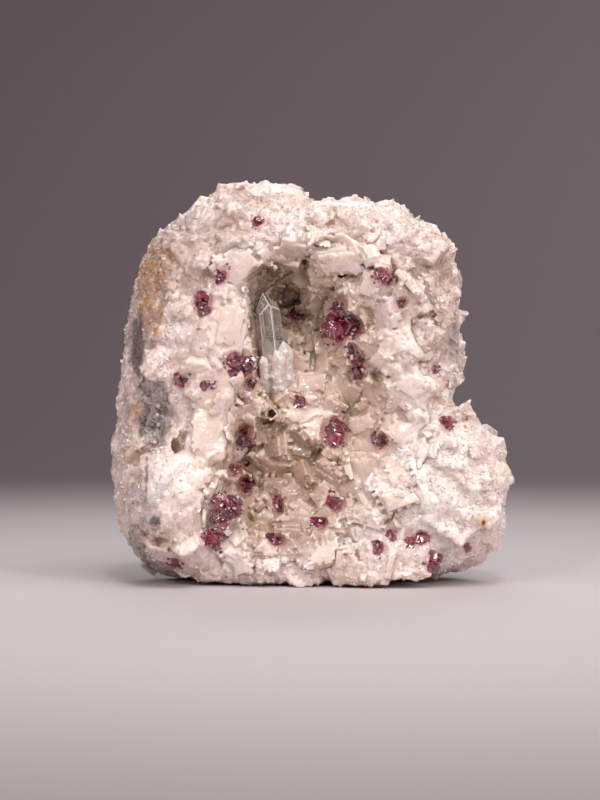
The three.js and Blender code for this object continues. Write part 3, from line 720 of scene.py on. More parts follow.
def cinnabar_crystal(rng, stepped):
    """Cinnabar crystal about 1 across: one rhombohedron, or two grown through each other. A stepped one has
    growth steps on its faces."""
    shape = bmesh.new()
    diagonal = Vector((1, 1, 1)).normalized()
    upright = diagonal.rotation_difference(Vector((0, 0, 1))).to_matrix().to_4x4()
    for twin in range(1 + int(rng.random() < 0.4)):
        cube = bmesh.ops.create_cube(shape, size=rng.uniform(0.6, 0.75))["verts"]
        about = Matrix.Rotation(math.radians(60) * twin + rng.uniform(-0.3, 0.3), 4, "Z")
        stretch = Matrix.Diagonal((1, rng.uniform(0.6, 1.3), rng.uniform(0.6, 1.1), 1))
        lean = Matrix.Rotation(rng.uniform(-0.4, 0.4), 4, "X")
        bmesh.ops.transform(shape, matrix=lean @ stretch @ about @ upright, verts=cube)
    if stepped:
        faces = list(shape.faces)
        bmesh.ops.inset_individual(shape, faces=faces, thickness=0.08, depth=0.03)
        bmesh.ops.inset_individual(shape, faces=faces, thickness=0.12, depth=-0.03)
    return shape


# Sites and joined crystals

def sites_on(even_mesh, tree, count, rng, wanted):
    """Random places where wanted(place, normal) holds, with the normals of the even mesh, moved onto
    the rougher surface that the tree holds"""
    even_mesh.calc_loop_triangles()
    corners = np.array([vertex.co[:] for vertex in even_mesh.vertices])
    triangles = np.array([triangle.vertices[:] for triangle in even_mesh.loop_triangles])
    a, b, c = (corners[triangles[:, index]] for index in range(3))
    across = np.cross(b - a, c - a)
    areas = np.linalg.norm(across, axis=1)
    normals = across / areas[:, None]
    keep = wanted((a + b + c) / 3 / MM, normals)
    chosen = rng.choice(len(triangles), size=count, p=areas * keep / (areas * keep).sum())
    u, v = rng.random((2, count, 1))
    over = (u + v) > 1
    u, v = np.where(over, 1 - u, u), np.where(over, 1 - v, v)
    places = a[chosen] + u * (b - a)[chosen] + v * (c - a)[chosen]
    normals = normals[chosen]
    for index, (place, normal) in enumerate(zip(places, normals)):
        for reach in SNAP_DISTANCES:
            hit, facing, _, _ = tree.ray_cast(Vector(place + normal * reach), Vector(-normal), 2 * reach)
            if hit and facing.dot(Vector(normal)) > 0:
                places[index] = hit
                break
    return places, normals


def clear_of_small_crystals(places, margin):
    """True for places, in millimetres, that hide no cinnabar, quartz or large plate from the front"""
    clear = np.ones(len(places), bool)
    for centre, half_width, half_height, _ in SOCKETS:
        reach = max(half_width, half_height) + margin * MM
        away = np.hypot(places[:, 0] * MM - centre.x, places[:, 2] * MM - centre.z)
        clear &= (away > reach) | (places[:, 1] * MM > centre.y + reach)
    for x, z, width, height, turn, _, _ in LARGE_PLATES:
        middle = placed(x, 0, z) / MM
        aside, up = places[:, 0] - middle.x, places[:, 2] - middle.z
        cosine, sine = math.cos(math.radians(turn)), math.sin(math.radians(turn))
        along, across = aside * cosine + up * sine, up * cosine - aside * sine
        clear &= np.maximum(np.abs(along) / width, np.abs(across) / height) > PLATE_CLEAR
    return clear


def turns_along(directions, rng):
    """Rotation matrices whose third axis lies along each direction, turned about it at random"""
    aid = rng.normal(size=directions.shape)
    side = np.cross(directions, aid)
    side /= np.linalg.norm(side, axis=1, keepdims=True)
    return np.stack([side, np.cross(directions, side), directions], axis=2)


def tilted(normals, spread, rng):
    """Directions near the normals"""
    leaning = normals + rng.normal(scale=spread, size=normals.shape)
    return leaning / np.linalg.norm(leaning, axis=1, keepdims=True)


def copies(shapes, places, turns, sizes, rng):
    """Corners, triangles and tones of many copies of the shapes, each copy with its own tone"""
    corners, triangles, tones, total = [], [], [], 0
    kinds = rng.integers(len(shapes), size=len(places))
    values = rng.random(len(places))
    for kind, value, place, turn, size in zip(kinds, values, places, turns, sizes):
        shape_corners, shape_triangles = shapes[kind]
        copy_corners = place + (shape_corners * size) @ turn.T
        if copy_corners[:, 2].min() < 0:
            continue
        corners.append(copy_corners)
        triangles.append(shape_triangles + total)
        tones.append(np.full(len(shape_corners), value))
        total += len(shape_corners)
    return np.concatenate(corners), np.concatenate(triangles), np.concatenate(tones)


def together(*groups):
    """Several groups of copies as one"""
    starts = np.cumsum([0] + [len(group[0]) for group in groups])
    triangles = [group[1] + start for group, start in zip(groups, starts)]
    corners = np.concatenate([group[0] for group in groups])
    tones = np.concatenate([group[2] for group in groups])
    return corners, np.concatenate(triangles), tones


def mesh_of(name, crystals):
    """One mesh of many copies, with the attribute tone"""
    corners, triangles, tones = crystals
    mesh = bpy.data.meshes.new(name)
    mesh.from_pydata(corners, [], triangles)
    written(mesh, "tone", tones)
    return mesh


def grains_object(name, crystals, material):
    """Separate small crystals as one object"""
    mesh = mesh_of(name, crystals)
    mesh.shade_smooth()
    mesh.set_sharp_from_angle(angle=GRAIN_EDGE_ANGLE)
    return object_of(name, mesh, material)


def sizes_between(low_high, count, rng, flatness=(1, 1)):
    """Width, height and thickness of each copy, in metres"""
    low, high = low_high
    width = low * (high / low) ** rng.random(count)
    height = width * rng.uniform(0.75, 1.3, count)
    thickness = width * rng.uniform(*flatness, count)
    return np.stack([width, height, thickness], axis=1) * MM


# Materials

def new_tree(name):
    """A new material, its node tree and its shader"""
    material = bpy.data.materials.new(name)
    material.use_nodes = True
    nodes = material.node_tree.nodes
    return material, material.node_tree, nodes["Principled BSDF"]


def add(tree, kind, inputs=None, **settings):
    """A node with its settings and input values. An input that is a socket is linked."""
    node = tree.nodes.new(kind)
    for name, value in settings.items():
        setattr(node, name, value)
    for name, value in (inputs or {}).items():
        if isinstance(value, bpy.types.NodeSocket):
            tree.links.new(value, node.inputs[name])
        else:
            node.inputs[name].default_value = value
    return node


def mixed(tree, mask, first, second):
    """Colour between two others, by a mask"""
    return add(tree, "ShaderNodeMix", {0: mask, 6: first, 7: second}, data_type="RGBA").outputs[2]


def group_tree(name, inputs, outputs):
    """An empty node group with named sockets, and its input and output nodes"""
    tree = bpy.data.node_groups.new(name, "ShaderNodeTree")
    for label, kind, value in inputs:
        socket = tree.interface.new_socket(label, in_out="INPUT", socket_type=kind)
        socket.default_value = value
    for label, kind in outputs:
        tree.interface.new_socket(label, in_out="OUTPUT", socket_type=kind)
    return tree, tree.nodes.new("NodeGroupInput"), tree.nodes.new("NodeGroupOutput")


def ragged_zone_group():
    """Mask that is 1 around a centre and 0 outside, with a ragged edge"""
    tree, given, result = group_tree(
        "Ragged Zone",
        [("Centre", "NodeSocketVector", (0, 0, 0)), ("Reach", "NodeSocketVector", (1, 1, 1)),
         ("Raggedness", "NodeSocketFloat", 0.5), ("Grain", "NodeSocketFloat", 400)],
        [("Mask", "NodeSocketFloat")],
    )
    place = add(tree, "ShaderNodeTexCoord").outputs["Object"]
    offset = add(tree, "ShaderNodeVectorMath", {0: place, 1: given.outputs["Centre"]}, operation="SUBTRACT")
    scaled = add(tree, "ShaderNodeVectorMath", {0: offset.outputs[0], 1: given.outputs["Reach"]},
                 operation="DIVIDE")
    distance = add(tree, "ShaderNodeVectorMath", {0: scaled.outputs[0]}, operation="LENGTH")
    wobble = add(tree, "ShaderNodeTexNoise",
                 {"Vector": place, "Scale": given.outputs["Grain"], "Detail": 4.0})
    centred = add(tree, "ShaderNodeMath", {0: wobble.outputs[0], 1: 0.5}, operation="SUBTRACT").outputs[0]
    pushed = add(tree, "ShaderNodeMath",
                 {0: centred, 1: given.outputs["Raggedness"], 2: distance.outputs["Value"]},
                 operation="MULTIPLY_ADD").outputs[0]
    mask = add(tree, "ShaderNodeMapRange", {"Value": pushed, "From Min": 1.1, "From Max": 0.75},
               interpolation_type="SMOOTHSTEP")
    tree.links.new(mask.outputs[0], result.inputs["Mask"])
    return tree


def mottle_group():
    """Mask of soft patches, and one of fine speckles"""
    tree, given, result = group_tree(
        "Mottle",
        [("Patch Scale", "NodeSocketFloat", 200), ("Speckle Scale", "NodeSocketFloat", 1500),
         ("Coverage", "NodeSocketFloat", 0.5)],
        [("Patches", "NodeSocketFloat"), ("Speckles", "NodeSocketFloat")],
    )
    place = add(tree, "ShaderNodeTexCoord").outputs["Object"]
    patches = add(tree, "ShaderNodeTexNoise",
                  {"Vector": place, "Scale": given.outputs["Patch Scale"], "Detail": 5.0, "Roughness": 0.6})
    edge = add(tree, "ShaderNodeMath", {0: given.outputs["Coverage"], 1: 0.22}, operation="ADD").outputs[0]
    shown = add(tree, "ShaderNodeMapRange",
                {"Value": patches.outputs[0], "From Min": given.outputs["Coverage"], "From Max": edge})
    speckles = add(tree, "ShaderNodeTexNoise",
                   {"Vector": place, "Scale": given.outputs["Speckle Scale"], "Detail": 2.0})
    sharp = add(tree, "ShaderNodeMapRange",
                {"Value": speckles.outputs[0], "From Min": 0.52, "From Max": 0.68})
    tree.links.new(shown.outputs[0], result.inputs["Patches"])
    tree.links.new(sharp.outputs[0], result.inputs["Speckles"])
    return tree


def facet_nodes(tree, scale):
    """Height of a surface broken into small flat facets, each tilted its own way, and each one's tone"""
    place = add(tree, "ShaderNodeTexCoord").outputs["Object"]
    scaled = add(tree, "ShaderNodeVectorMath", {0: place, "Scale": scale}, operation="SCALE")
    cells = add(tree, "ShaderNodeTexVoronoi", {"Vector": scaled.outputs[0], "Scale": 1.0})
    offset = add(tree, "ShaderNodeVectorMath", {0: scaled.outputs[0], 1: cells.outputs["Position"]},
                 operation="SUBTRACT")
    tilt = add(tree, "ShaderNodeVectorMath", {0: cells.outputs["Color"], 1: (0.5, 0.5, 0.5)},
               operation="SUBTRACT")
    height = add(tree, "ShaderNodeVectorMath", {0: offset.outputs[0], 1: tilt.outputs[0]},
                 operation="DOT_PRODUCT")
    tone = add(tree, "ShaderNodeSeparateColor", {0: cells.outputs["Color"]})
    return height.outputs["Value"], tone.outputs[1]


def facets_group():
    """The facets as a group, for the surface of the stone"""
    tree, given, result = group_tree(
        "Facets",
        [("Scale", "NodeSocketFloat", 2000)],
        [("Height", "NodeSocketFloat"), ("Tone", "NodeSocketFloat")],
    )
    height, tone = facet_nodes(tree, given.outputs["Scale"])
    tree.links.new(height, result.inputs["Height"])
    tree.links.new(tone, result.inputs["Tone"])
    return tree


RAGGED_ZONE = ragged_zone_group()
MOTTLE = mottle_group()
FACETS = facets_group()


def zone(tree, x, y, z, reach, raggedness=0.6, grain=400.0):
    """Mask of a zone given in the lists' millimetres"""
    return add(tree, "ShaderNodeGroup", {
        "Centre": placed(x, y, z), "Reach": Vector(reach) * MM, "Raggedness": raggedness, "Grain": grain,
    }, node_tree=RAGGED_ZONE).outputs["Mask"]


def srgb(red, green, blue):
    """A colour given as 0 to 255, as the shader takes it"""
    values = [channel / 255 for channel in (red, green, blue)]
    return tuple(v / 12.92 if v <= 0.04045 else ((v + 0.055) / 1.055) ** 2.4 for v in values) + (1,)


# Colours of the stone, of its stains, of the painted shade in its crevices and the painted highlights on
# its edges, and of the rock beside the cinnabar
WHITE_STONE = srgb(240, 221, 214)
PINK_STONE = srgb(230, 200, 194)
CREAM_STONE = srgb(226, 200, 180)
BRIGHT_GRAIN_AND_HIGHLIGHT = srgb(254, 246, 241)
DULL_GRAIN = srgb(184, 154, 143)
GREY_STONE = srgb(168, 152, 146)
DARK_STONE = srgb(86, 70, 68)
LIMONITE = srgb(196, 138, 82)
OLIVE_SHADE = srgb(168, 142, 106)
DEEP_OLIVE_SHADE = srgb(84, 62, 36)
TAN_VEIN_AND_SHADE = srgb(186, 150, 124)
BROWN_LINE = srgb(96, 62, 44)
BLUE_GREY = srgb(150, 148, 156)
RUST = srgb(120, 50, 12)
YELLOW = srgb(232, 190, 110)
HALO_PINK = srgb(206, 110, 132)

# Colours of single crystals, of the hollow and of the large plates
TINTED_STONE = srgb(208, 178, 166)
HOLLOW_SIDE = srgb(204, 178, 156)
CRUST_LIGHT = srgb(234, 209, 194)
CRUST_DARK = srgb(206, 176, 154)
CRUST_PINK = srgb(222, 197, 187)
PLATE_DARK = srgb(228, 203, 186)
PLATE_LIGHT = srgb(240, 221, 212)

# Colours of the milky quartz, the cinnabar and the studio
MILKY_DARK = srgb(230, 214, 206)
MILKY_LIGHT = srgb(250, 242, 237)
CINNABAR_DARK = srgb(74, 6, 24)
CINNABAR_LIGHT = srgb(152, 32, 64)
FLOOR_COLOUR = srgb(198, 188, 189)
WALL_LEFT = srgb(80, 62, 68)
WALL_RIGHT = srgb(108, 96, 100)

# How strongly the pink beside the cinnabar, a crystal's own tone and a large plate's colour show
HALO_STRENGTH = 0.6
TONE_STRENGTH = 0.35
PLATE_STRENGTH = 0.8

# Facets of the stone as bump, and of the clear surface over it: their scale and strength
ROCK_FACETS = ((1900.0, 0.15), (4300.0, 0.25))
CRUST_FACETS = ((1500.0, 0.1), (4300.0, 0.18))
CINNABAR_FACETS = ((1600.0, 0.4),)
GLINT_FACETS = ((1300.0, 0.5), (4300.0, 0.45))
FACET_BUMP = 0.75
QUARTZ_IOR = 1.54

# Depths in metres over which the face turns to host rock, and the crust's front to the rock's colours
HOST_ROCK_DEPTH = (-0.002, 0.004)
CRUST_FRONT_DEPTH = (-0.0085, -0.0065)

# Zones in the lists' millimetres: the middle depth and half depth of all, and the grain of their edges
ZONE_DEPTH = (4.5, 9)
TINT_GRAIN = 500.0
ZONE_GRAIN = 900.0

# Broad tints of the rock, and painted shade that darkens the crust's hollow and its deep recess: x, z, half
# width, half height, raggedness, strength and colour
ROCK_TINTS = [
    (-10.0, 34.0, 8.0, 7.0, 1.2, 0.55, DULL_GRAIN),
    (11.0, 28.0, 6.0, 10.0, 1.2, 0.7, DULL_GRAIN),
    (10.5, 9.0, 10.0, 9.5, 0.7, 0.7, BRIGHT_GRAIN_AND_HIGHLIGHT),
]
CRUST_PAINTED_SHADE = [
    (-3.0, 8.5, 7.5, 7.5, 0.9, 0.9, srgb(178, 146, 130)),
    (-3.5, 18.0, 8.0, 5.0, 1.2, 0.4, srgb(190, 160, 140)),
    (-1.5, 30.0, 7.5, 6.5, 1.2, 0.2, srgb(176, 150, 132)),
    (-4.2, 30.4, 2.6, 3.4, 1.8, 0.9, srgb(112, 84, 48)),
    (-2.0, 28.0, 2.0, 1.8, 1.8, 0.75, srgb(124, 98, 62)),
    (-7.0, 27.4, 1.0, 1.8, 1.8, 0.8, srgb(112, 78, 44)),
]

# Coloured zones of the rock, in the same way. The wider ones are speckled.
SPECKLED_FROM = 1
ZONES = [
    (-16.0, 34.4, 1.9, 1.8, 1.6, 0.7, LIMONITE),
    (-17.3, 31.6, 1.9, 3.0, 1.6, 0.95, LIMONITE),
    (-16.9, 28.2, 1.5, 2.4, 1.8, 0.85, LIMONITE),
    (-14.2, 33.0, 2.4, 3.4, 1.8, 0.4, TAN_VEIN_AND_SHADE),
    (-18.6, 25.4, 1.3, 3.6, 1.4, 0.85, GREY_STONE),
    (-18.5, 24.6, 0.9, 3.2, 2.2, 0.7, DARK_STONE),
    (-17.2, 19.0, 2.6, 3.6, 1.6, 0.9, GREY_STONE),
    (-16.4, 17.8, 2.2, 3.0, 2.0, 0.85, DARK_STONE),
    (-19.3, 21.4, 1.0, 1.2, 0.6, 0.9, PINK_STONE),
    (-18.6, 18.3, 1.1, 0.8, 0.8, 0.85, LIMONITE),
    (-19.2, 16.8, 1.0, 0.8, 0.6, 0.85, PINK_STONE),
    (-18.9, 13.7, 1.5, 1.0, 1.0, 0.6, TAN_VEIN_AND_SHADE),
    (-17.2, 11.0, 0.35, 3.4, 0.8, 0.75, BROWN_LINE),
    (-16.4, 9.2, 2.4, 3.4, 2.4, 0.75, BLUE_GREY),
    (-16.1, 6.8, 1.0, 1.5, 1.6, 0.8, DARK_STONE),
    (-18.6, 4.0, 1.2, 2.6, 1.6, 0.85, DARK_STONE),
    (-16.6, 1.6, 2.4, 1.3, 1.6, 0.85, DARK_STONE),
    (-12.6, 37.4, 3.2, 1.6, 1.8, 0.4, GREY_STONE),
    (-6.5, 40.6, 3.0, 0.9, 1.2, 0.6, TAN_VEIN_AND_SHADE),
    (13.6, 31.4, 1.2, 4.4, 2.2, 0.55, TAN_VEIN_AND_SHADE),
    (14.9, 25.4, 0.8, 2.8, 1.2, 0.7, GREY_STONE),
    (9.9, 5.9, 0.7, 0.9, 0.8, 0.6, TAN_VEIN_AND_SHADE),
    (17.5, 7.0, 0.8, 0.8, 0.4, 0.9, YELLOW),
    (17.6, 6.9, 0.34, 0.42, 0.4, 1.0, RUST),
]


def attribute(tree, name):
    """Value of a mesh's attribute"""
    return add(tree, "ShaderNodeAttribute", attribute_name=name).outputs["Fac"]


def spread(tree, value, low, high):
    """0 below low and 1 above high"""
    return add(tree, "ShaderNodeMapRange", {"Value": value, "From Min": low, "From Max": high}).outputs[0]


def share_of(tree, value, share):
    """A value times another"""
    return add(tree, "ShaderNodeMath", {0: value, 1: share}, operation="MULTIPLY").outputs[0]


def set_values(shader, values):
    """Values on the shader's own sockets"""
    for name, value in values.items():
        shader.inputs[name].default_value = value


def translucent(shader, weight, scale):
    """Light soaks in, red the furthest, up to the scale in metres"""
    set_values(shader, {
        "Subsurface Weight": weight,
        "Subsurface Radius": (1.0, 0.93, 0.87),
        "Subsurface Scale": scale,
    })


def grouped_facets(tree, scale):
    """Height of the small facets, from their group"""
    return add(tree, "ShaderNodeGroup", {"Scale": scale}, node_tree=FACETS).outputs["Height"]


def faceted(tree, shader, *layers, socket="Normal", heights=grouped_facets):
    """Small flat facets, as bump. Each layer has its scale and its strength."""
    normal = None
    for scale, strength in layers:
        bump = add(tree, "ShaderNodeBump", {"Height": heights(tree, scale), "Strength": strength,
                                            "Distance": FACET_BUMP / scale})
        if normal:
            tree.links.new(normal, bump.inputs["Normal"])
        normal = bump.outputs[0]
    tree.links.new(normal, shader.inputs[socket])


def glinting(tree, shader):
    """A clear surface over the stone whose small facets glint"""
    set_values(shader, {"Coat Weight": 0.6, "Coat Roughness": 0.12, "Coat IOR": 1.6})
    faceted(tree, shader, *GLINT_FACETS, socket="Coat Normal",
            heights=lambda tree, scale: facet_nodes(tree, scale)[0])


def grained(tree, colour, scale, dull, bright):
    """A colour broken into grains, some duller and some brighter, by two strengths"""
    tone = add(tree, "ShaderNodeGroup", {"Scale": scale}, node_tree=FACETS).outputs["Tone"]
    colour = mixed(tree, share_of(tree, spread(tree, tone, 0.55, 0.1), dull), colour, DULL_GRAIN)
    return mixed(tree, share_of(tree, spread(tree, tone, 0.6, 0.95), bright), colour, BRIGHT_GRAIN_AND_HIGHLIGHT)


def stone_colour(tree):
    """White, pink and cream stone in soft patches"""
    mottle = add(tree, "ShaderNodeGroup", {"Patch Scale": 260.0, "Speckle Scale": 1700.0, "Coverage": 0.48},
                 node_tree=MOTTLE)
    broad = add(tree, "ShaderNodeGroup", {"Patch Scale": 90.0, "Speckle Scale": 900.0, "Coverage": 0.5},
                node_tree=MOTTLE)
    colour = mixed(tree, broad.outputs["Patches"], WHITE_STONE, PINK_STONE)
    colour = mixed(tree, mottle.outputs["Patches"], colour, CREAM_STONE)
    return colour, mottle, broad


def plate_colour(tree):
    """Smooth cream of the large plates, faintly streaked"""
    place = add(tree, "ShaderNodeTexCoord").outputs["Object"]
    streaks = add(tree, "ShaderNodeTexNoise",
                  {"Vector": place, "Scale": 420.0, "Detail": 4.0, "Distortion": 1.2})
    return mixed(tree, spread(tree, streaks.outputs[0], 0.35, 0.65), PLATE_DARK, PLATE_LIGHT)


def with_plates(tree, colour):
    """The colour with that of the large plates over it"""
    return mixed(tree, share_of(tree, attribute(tree, "plate"), PLATE_STRENGTH), colour, plate_colour(tree))


def tinted(tree, colour, zones, grain, speckles=None):
    """The colour with a list of zones over it. Speckles break the wider ones, if they are given."""
    middle, half_depth = ZONE_DEPTH
    for x, z, half_width, half_height, raggedness, strength, tint in zones:
        mask = zone(tree, x, middle, z, (half_width, half_depth, half_height), raggedness, grain)
        if speckles is not None and half_width > SPECKLED_FROM:
            mask = share_of(tree, mask, speckles)
        colour = mixed(tree, share_of(tree, mask, strength), colour, tint)
    return colour


def painted_crevice_shade(tree, low, high):
    """Mask of painted shade: how deep in a crevice a place is, away from the cinnabar, which the rock
    around it lights up
    """
    deep = spread(tree, attribute(tree, "crevice"), low, high)
    away = spread(tree, attribute(tree, "halo"), 1.0, 0.0)
    return share_of(tree, deep, away)


def reddened(tree, colour):
    """The colour with a ragged pink halo where cinnabar shines through the stone"""
    place = add(tree, "ShaderNodeTexCoord").outputs["Object"]
    wisps = add(tree, "ShaderNodeTexNoise", {"Vector": place, "Scale": 1500.0, "Detail": 3.0})
    ragged = share_of(tree, attribute(tree, "halo"), spread(tree, wisps.outputs[0], 0.3, 0.7))
    return mixed(tree, share_of(tree, ragged, HALO_STRENGTH), colour, HALO_PINK)


def depth_into(tree):
    """How far back a place lies, in metres"""
    place = add(tree, "ShaderNodeTexCoord").outputs["Object"]
    return add(tree, "ShaderNodeSeparateXYZ", {0: place}).outputs["Y"]


def rock_material():
    """White to cream rock with limonite, grey host rock and tan veins, tan painted shade in its crevices
    and painted highlights on its edges
    """
    material, tree, shader = new_tree("dolomite rock")
    colour, mottle, broad = stone_colour(tree)
    colour = tinted(tree, colour, ROCK_TINTS, TINT_GRAIN)
    host = mixed(tree, mottle.outputs["Patches"], GREY_STONE, CREAM_STONE)
    host = mixed(tree, broad.outputs["Speckles"], host, PINK_STONE)
    colour = mixed(tree, spread(tree, depth_into(tree), *HOST_ROCK_DEPTH), colour, host)
    colour = mixed(tree, zone(tree, -4.5, 8.0, 27.5, (5.5, 7, 8), 0.8, TINT_GRAIN), colour, HOLLOW_SIDE)
    colour = mixed(tree, share_of(tree, attribute(tree, "tone"), TONE_STRENGTH), colour, TINTED_STONE)
    colour = grained(tree, colour, 1900.0, dull=0.18, bright=0.2)
    colour = grained(tree, colour, 4300.0, dull=0.2, bright=0.3)
    colour = with_plates(tree, colour)
    # Painted shade: tan in the crevices
    colour = mixed(tree, painted_crevice_shade(tree, 0.3, 1.0), colour, TAN_VEIN_AND_SHADE)
    speckles = spread(tree, mottle.outputs["Speckles"], -0.8, 0.8)
    colour = tinted(tree, colour, ZONES, ZONE_GRAIN, speckles)
    # Painted highlight: near white on convex edges
    colour = mixed(tree, spread(tree, attribute(tree, "edge"), 0.15, 0.8), colour, BRIGHT_GRAIN_AND_HIGHLIGHT)
    colour = mixed(tree, attribute(tree, "wall"), colour, WHITE_STONE)
    tree.links.new(reddened(tree, colour), shader.inputs["Base Color"])
    set_values(shader, {"Roughness": 0.3, "IOR": 1.6})
    translucent(shader, weight=0.85, scale=0.6 * MM)
    faceted(tree, shader, *ROCK_FACETS)
    glinting(tree, shader)
    return material


def crust_material():
    """Waxy translucent dolomite with olive-brown painted shade in its crevices, darker painted shade in its
    hollow and painted highlights on its edges. Its front is like the rock that it meets.
    """
    material, tree, shader = new_tree("dolomite crust")
    ahead, mottle, _ = stone_colour(tree)
    ahead = grained(tree, ahead, 1900.0, dull=0.18, bright=0.2)
    colour = mixed(tree, attribute(tree, "tone"), CRUST_LIGHT, CRUST_DARK)
    colour = mixed(tree, mottle.outputs["Patches"], colour, CRUST_PINK)
    colour = with_plates(tree, colour)
    colour = mixed(tree, spread(tree, depth_into(tree), *CRUST_FRONT_DEPTH), ahead, colour)
    # Painted shade: darker in the hollow, most in its lower part and in the deep recess behind the quartz
    colour = tinted(tree, colour, CRUST_PAINTED_SHADE, TINT_GRAIN)
    colour = grained(tree, colour, 4300.0, dull=0.08, bright=0.16)
    # Painted shade: olive brown in the crevices, darker in the deepest
    colour = mixed(tree, painted_crevice_shade(tree, 0.25, 0.85), colour, OLIVE_SHADE)
    colour = mixed(tree, painted_crevice_shade(tree, 0.65, 1.0), colour, DEEP_OLIVE_SHADE)
    # Painted highlight: near white on convex edges
    colour = mixed(tree, spread(tree, attribute(tree, "edge"), 0.1, 0.45), colour, BRIGHT_GRAIN_AND_HIGHLIGHT)
    tree.links.new(reddened(tree, colour), shader.inputs["Base Color"])
    set_values(shader, {"Roughness": 0.22, "IOR": 1.6})
    translucent(shader, weight=0.9, scale=0.7 * MM)
    faceted(tree, shader, *CRUST_FACETS)
    glinting(tree, shader)
    return material


def for_grains(stone):
    """The same stone for small separate grains, where light goes less deep"""
    material = stone.copy()
    material.name = stone.name + " grains"
    material.node_tree.nodes["Principled BSDF"].inputs["Subsurface Scale"].default_value = GRAIN_SOAK
    return material


def clear_quartz_material():
    """Clear quartz, see-through with a faint haze"""
    material, _, shader = new_tree("clear quartz")
    set_values(shader, {
        "Base Color": (1.0, 0.97, 0.94, 1),
        "Roughness": 0.02,
        "IOR": QUARTZ_IOR,
        "Transmission Weight": 0.88,
    })
    return material


def milky_quartz_material(name, transmission):
    """Milky quartz with streaks along the crystal, and painted highlights on its edges"""
    material, tree, shader = new_tree(name)
    place = add(tree, "ShaderNodeTexCoord").outputs["Object"]
    drawn = add(tree, "ShaderNodeMapping", {"Vector": place, "Scale": (1, 1, 0.25)}).outputs[0]
    streaks = add(tree, "ShaderNodeTexNoise", {"Vector": drawn, "Scale": 1600.0, "Detail": 3.0}).outputs[0]
    colour = mixed(tree, spread(tree, streaks, 0.35, 0.65), MILKY_DARK, MILKY_LIGHT)
    # Painted highlight: near white on the convex edges
    colour = mixed(tree, spread(tree, attribute(tree, "edge"), 0.1, 0.5), colour, BRIGHT_GRAIN_AND_HIGHLIGHT)
    tree.links.new(colour, shader.inputs["Base Color"])
    set_values(shader, {"Roughness": 0.16, "IOR": QUARTZ_IOR, "Transmission Weight": transmission})
    translucent(shader, weight=0.9, scale=0.6 * MM)
    return material


def cinnabar_material():
    """Dark red cinnabar with an adamantine lustre"""
    material, tree, shader = new_tree("cinnabar")
    colour = mixed(tree, attribute(tree, "tone"), CINNABAR_DARK, CINNABAR_LIGHT)
    tree.links.new(colour, shader.inputs["Base Color"])
    set_values(shader, {"Roughness": 0.14, "IOR": 2.6})
    faceted(tree, shader, *CINNABAR_FACETS)
    return material


# Pieces of the specimen

rock_finish = rock_material()
crust_finish = crust_material()
clear_quartz = clear_quartz_material()
quartz_edge_highlight = milky_quartz_material("quartz edges painted white", 0.0)
milky_quartz = milky_quartz_material("milky quartz", 0.08)
cinnabar_finish = cinnabar_material()

even_rock = fine_skin("even_rock", "matrix", PLAIN_VOXEL, ROCK_EVEN_STEPS)
even_crust = fine_skin("even_crust", "dolomite_crust", PLAIN_VOXEL, CRUST_EVEN_STEPS)
rock_body = fine_skin("rock_body", "matrix", BODY_VOXEL, 1)
crust_body = fine_skin("crust_body", "dolomite_crust", BODY_VOXEL, 1)
relieved(rock_body, rock_relief, CONTACT_GROWTH)
relieved(crust_body, crust_relief, CONTACT_GROWTH)
rock_body_tree = tree_of(rock_body)
crust_body_tree = tree_of(crust_body)


def socket_list():
    """Where crystals stay clear of cinnabar and quartz: a middle, half the width and height, and a turn"""
    sockets = []
    for name, x, z, width, height, turn in CINNABAR:
        tree = tree_of(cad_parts[name].data)
        centre = placed(x, 0, z)
        ahead = front_point(tree, x, z)
        centre.y = (ahead.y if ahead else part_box(name)[0].y) + CINNABAR_SHOWN * min(width, height) * MM
        sockets.append((centre, width / 2 * MM, height / 2 * MM, -math.radians(turn)))
    for foot, tip, radius in [CLEAR_POINT] + MILKY_POINTS:
        for share in np.linspace(0.3, 1.05, 9):
            centre = placed(*foot).lerp(placed(*tip), share) + Vector((0, QUARTZ_SHOWN * radius * MM, 0))
            sockets.append((centre, 1.1 * radius * MM, 1.1 * radius * MM, 0))
    return sockets


SOCKETS = socket_list()


def large_plates(wanted):
    """The crystals of the list that grew on the wanted node, each with its own shape"""
    rng = np.random.default_rng(SEED)
    grown_on = {"matrix": [], "dolomite_crust": []}
    trees = {node: tree_of(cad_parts[node].data) for node in grown_on}
    for x, z, width, height, turn, yaw, pitch in LARGE_PLATES:
        shape = saddle_crystal(round(max(width, height) / PLATE_CELL), rng)
        node = "matrix" if x < SIDE_PLATES_X else "dolomite_crust"
        other = "matrix" if node == "dolomite_crust" else "dolomite_crust"
        point = front_point(trees[node], x, z) or front_point(trees[other], x, z)
        facing = Matrix.Rotation(math.radians(90), 3, "X")
        turned = Matrix.Rotation(math.radians(yaw), 3, "Z") @ Matrix.Rotation(math.radians(pitch), 3, "X")
        turned = turned @ Matrix.Rotation(math.radians(turn), 3, "Y") @ facing
        size = np.array((width, height, PLATE_THICKNESS)) * MM
        place = np.array(point) - np.array((0, PLATE_PROUD, 0))
        corners, triangles, tones = copies([shape], [place], [np.array(turned)], [size], rng)
        grown_on[node].append((corners, triangles, tones + PLATE_TONE))
    return together(*grown_on[wanted])


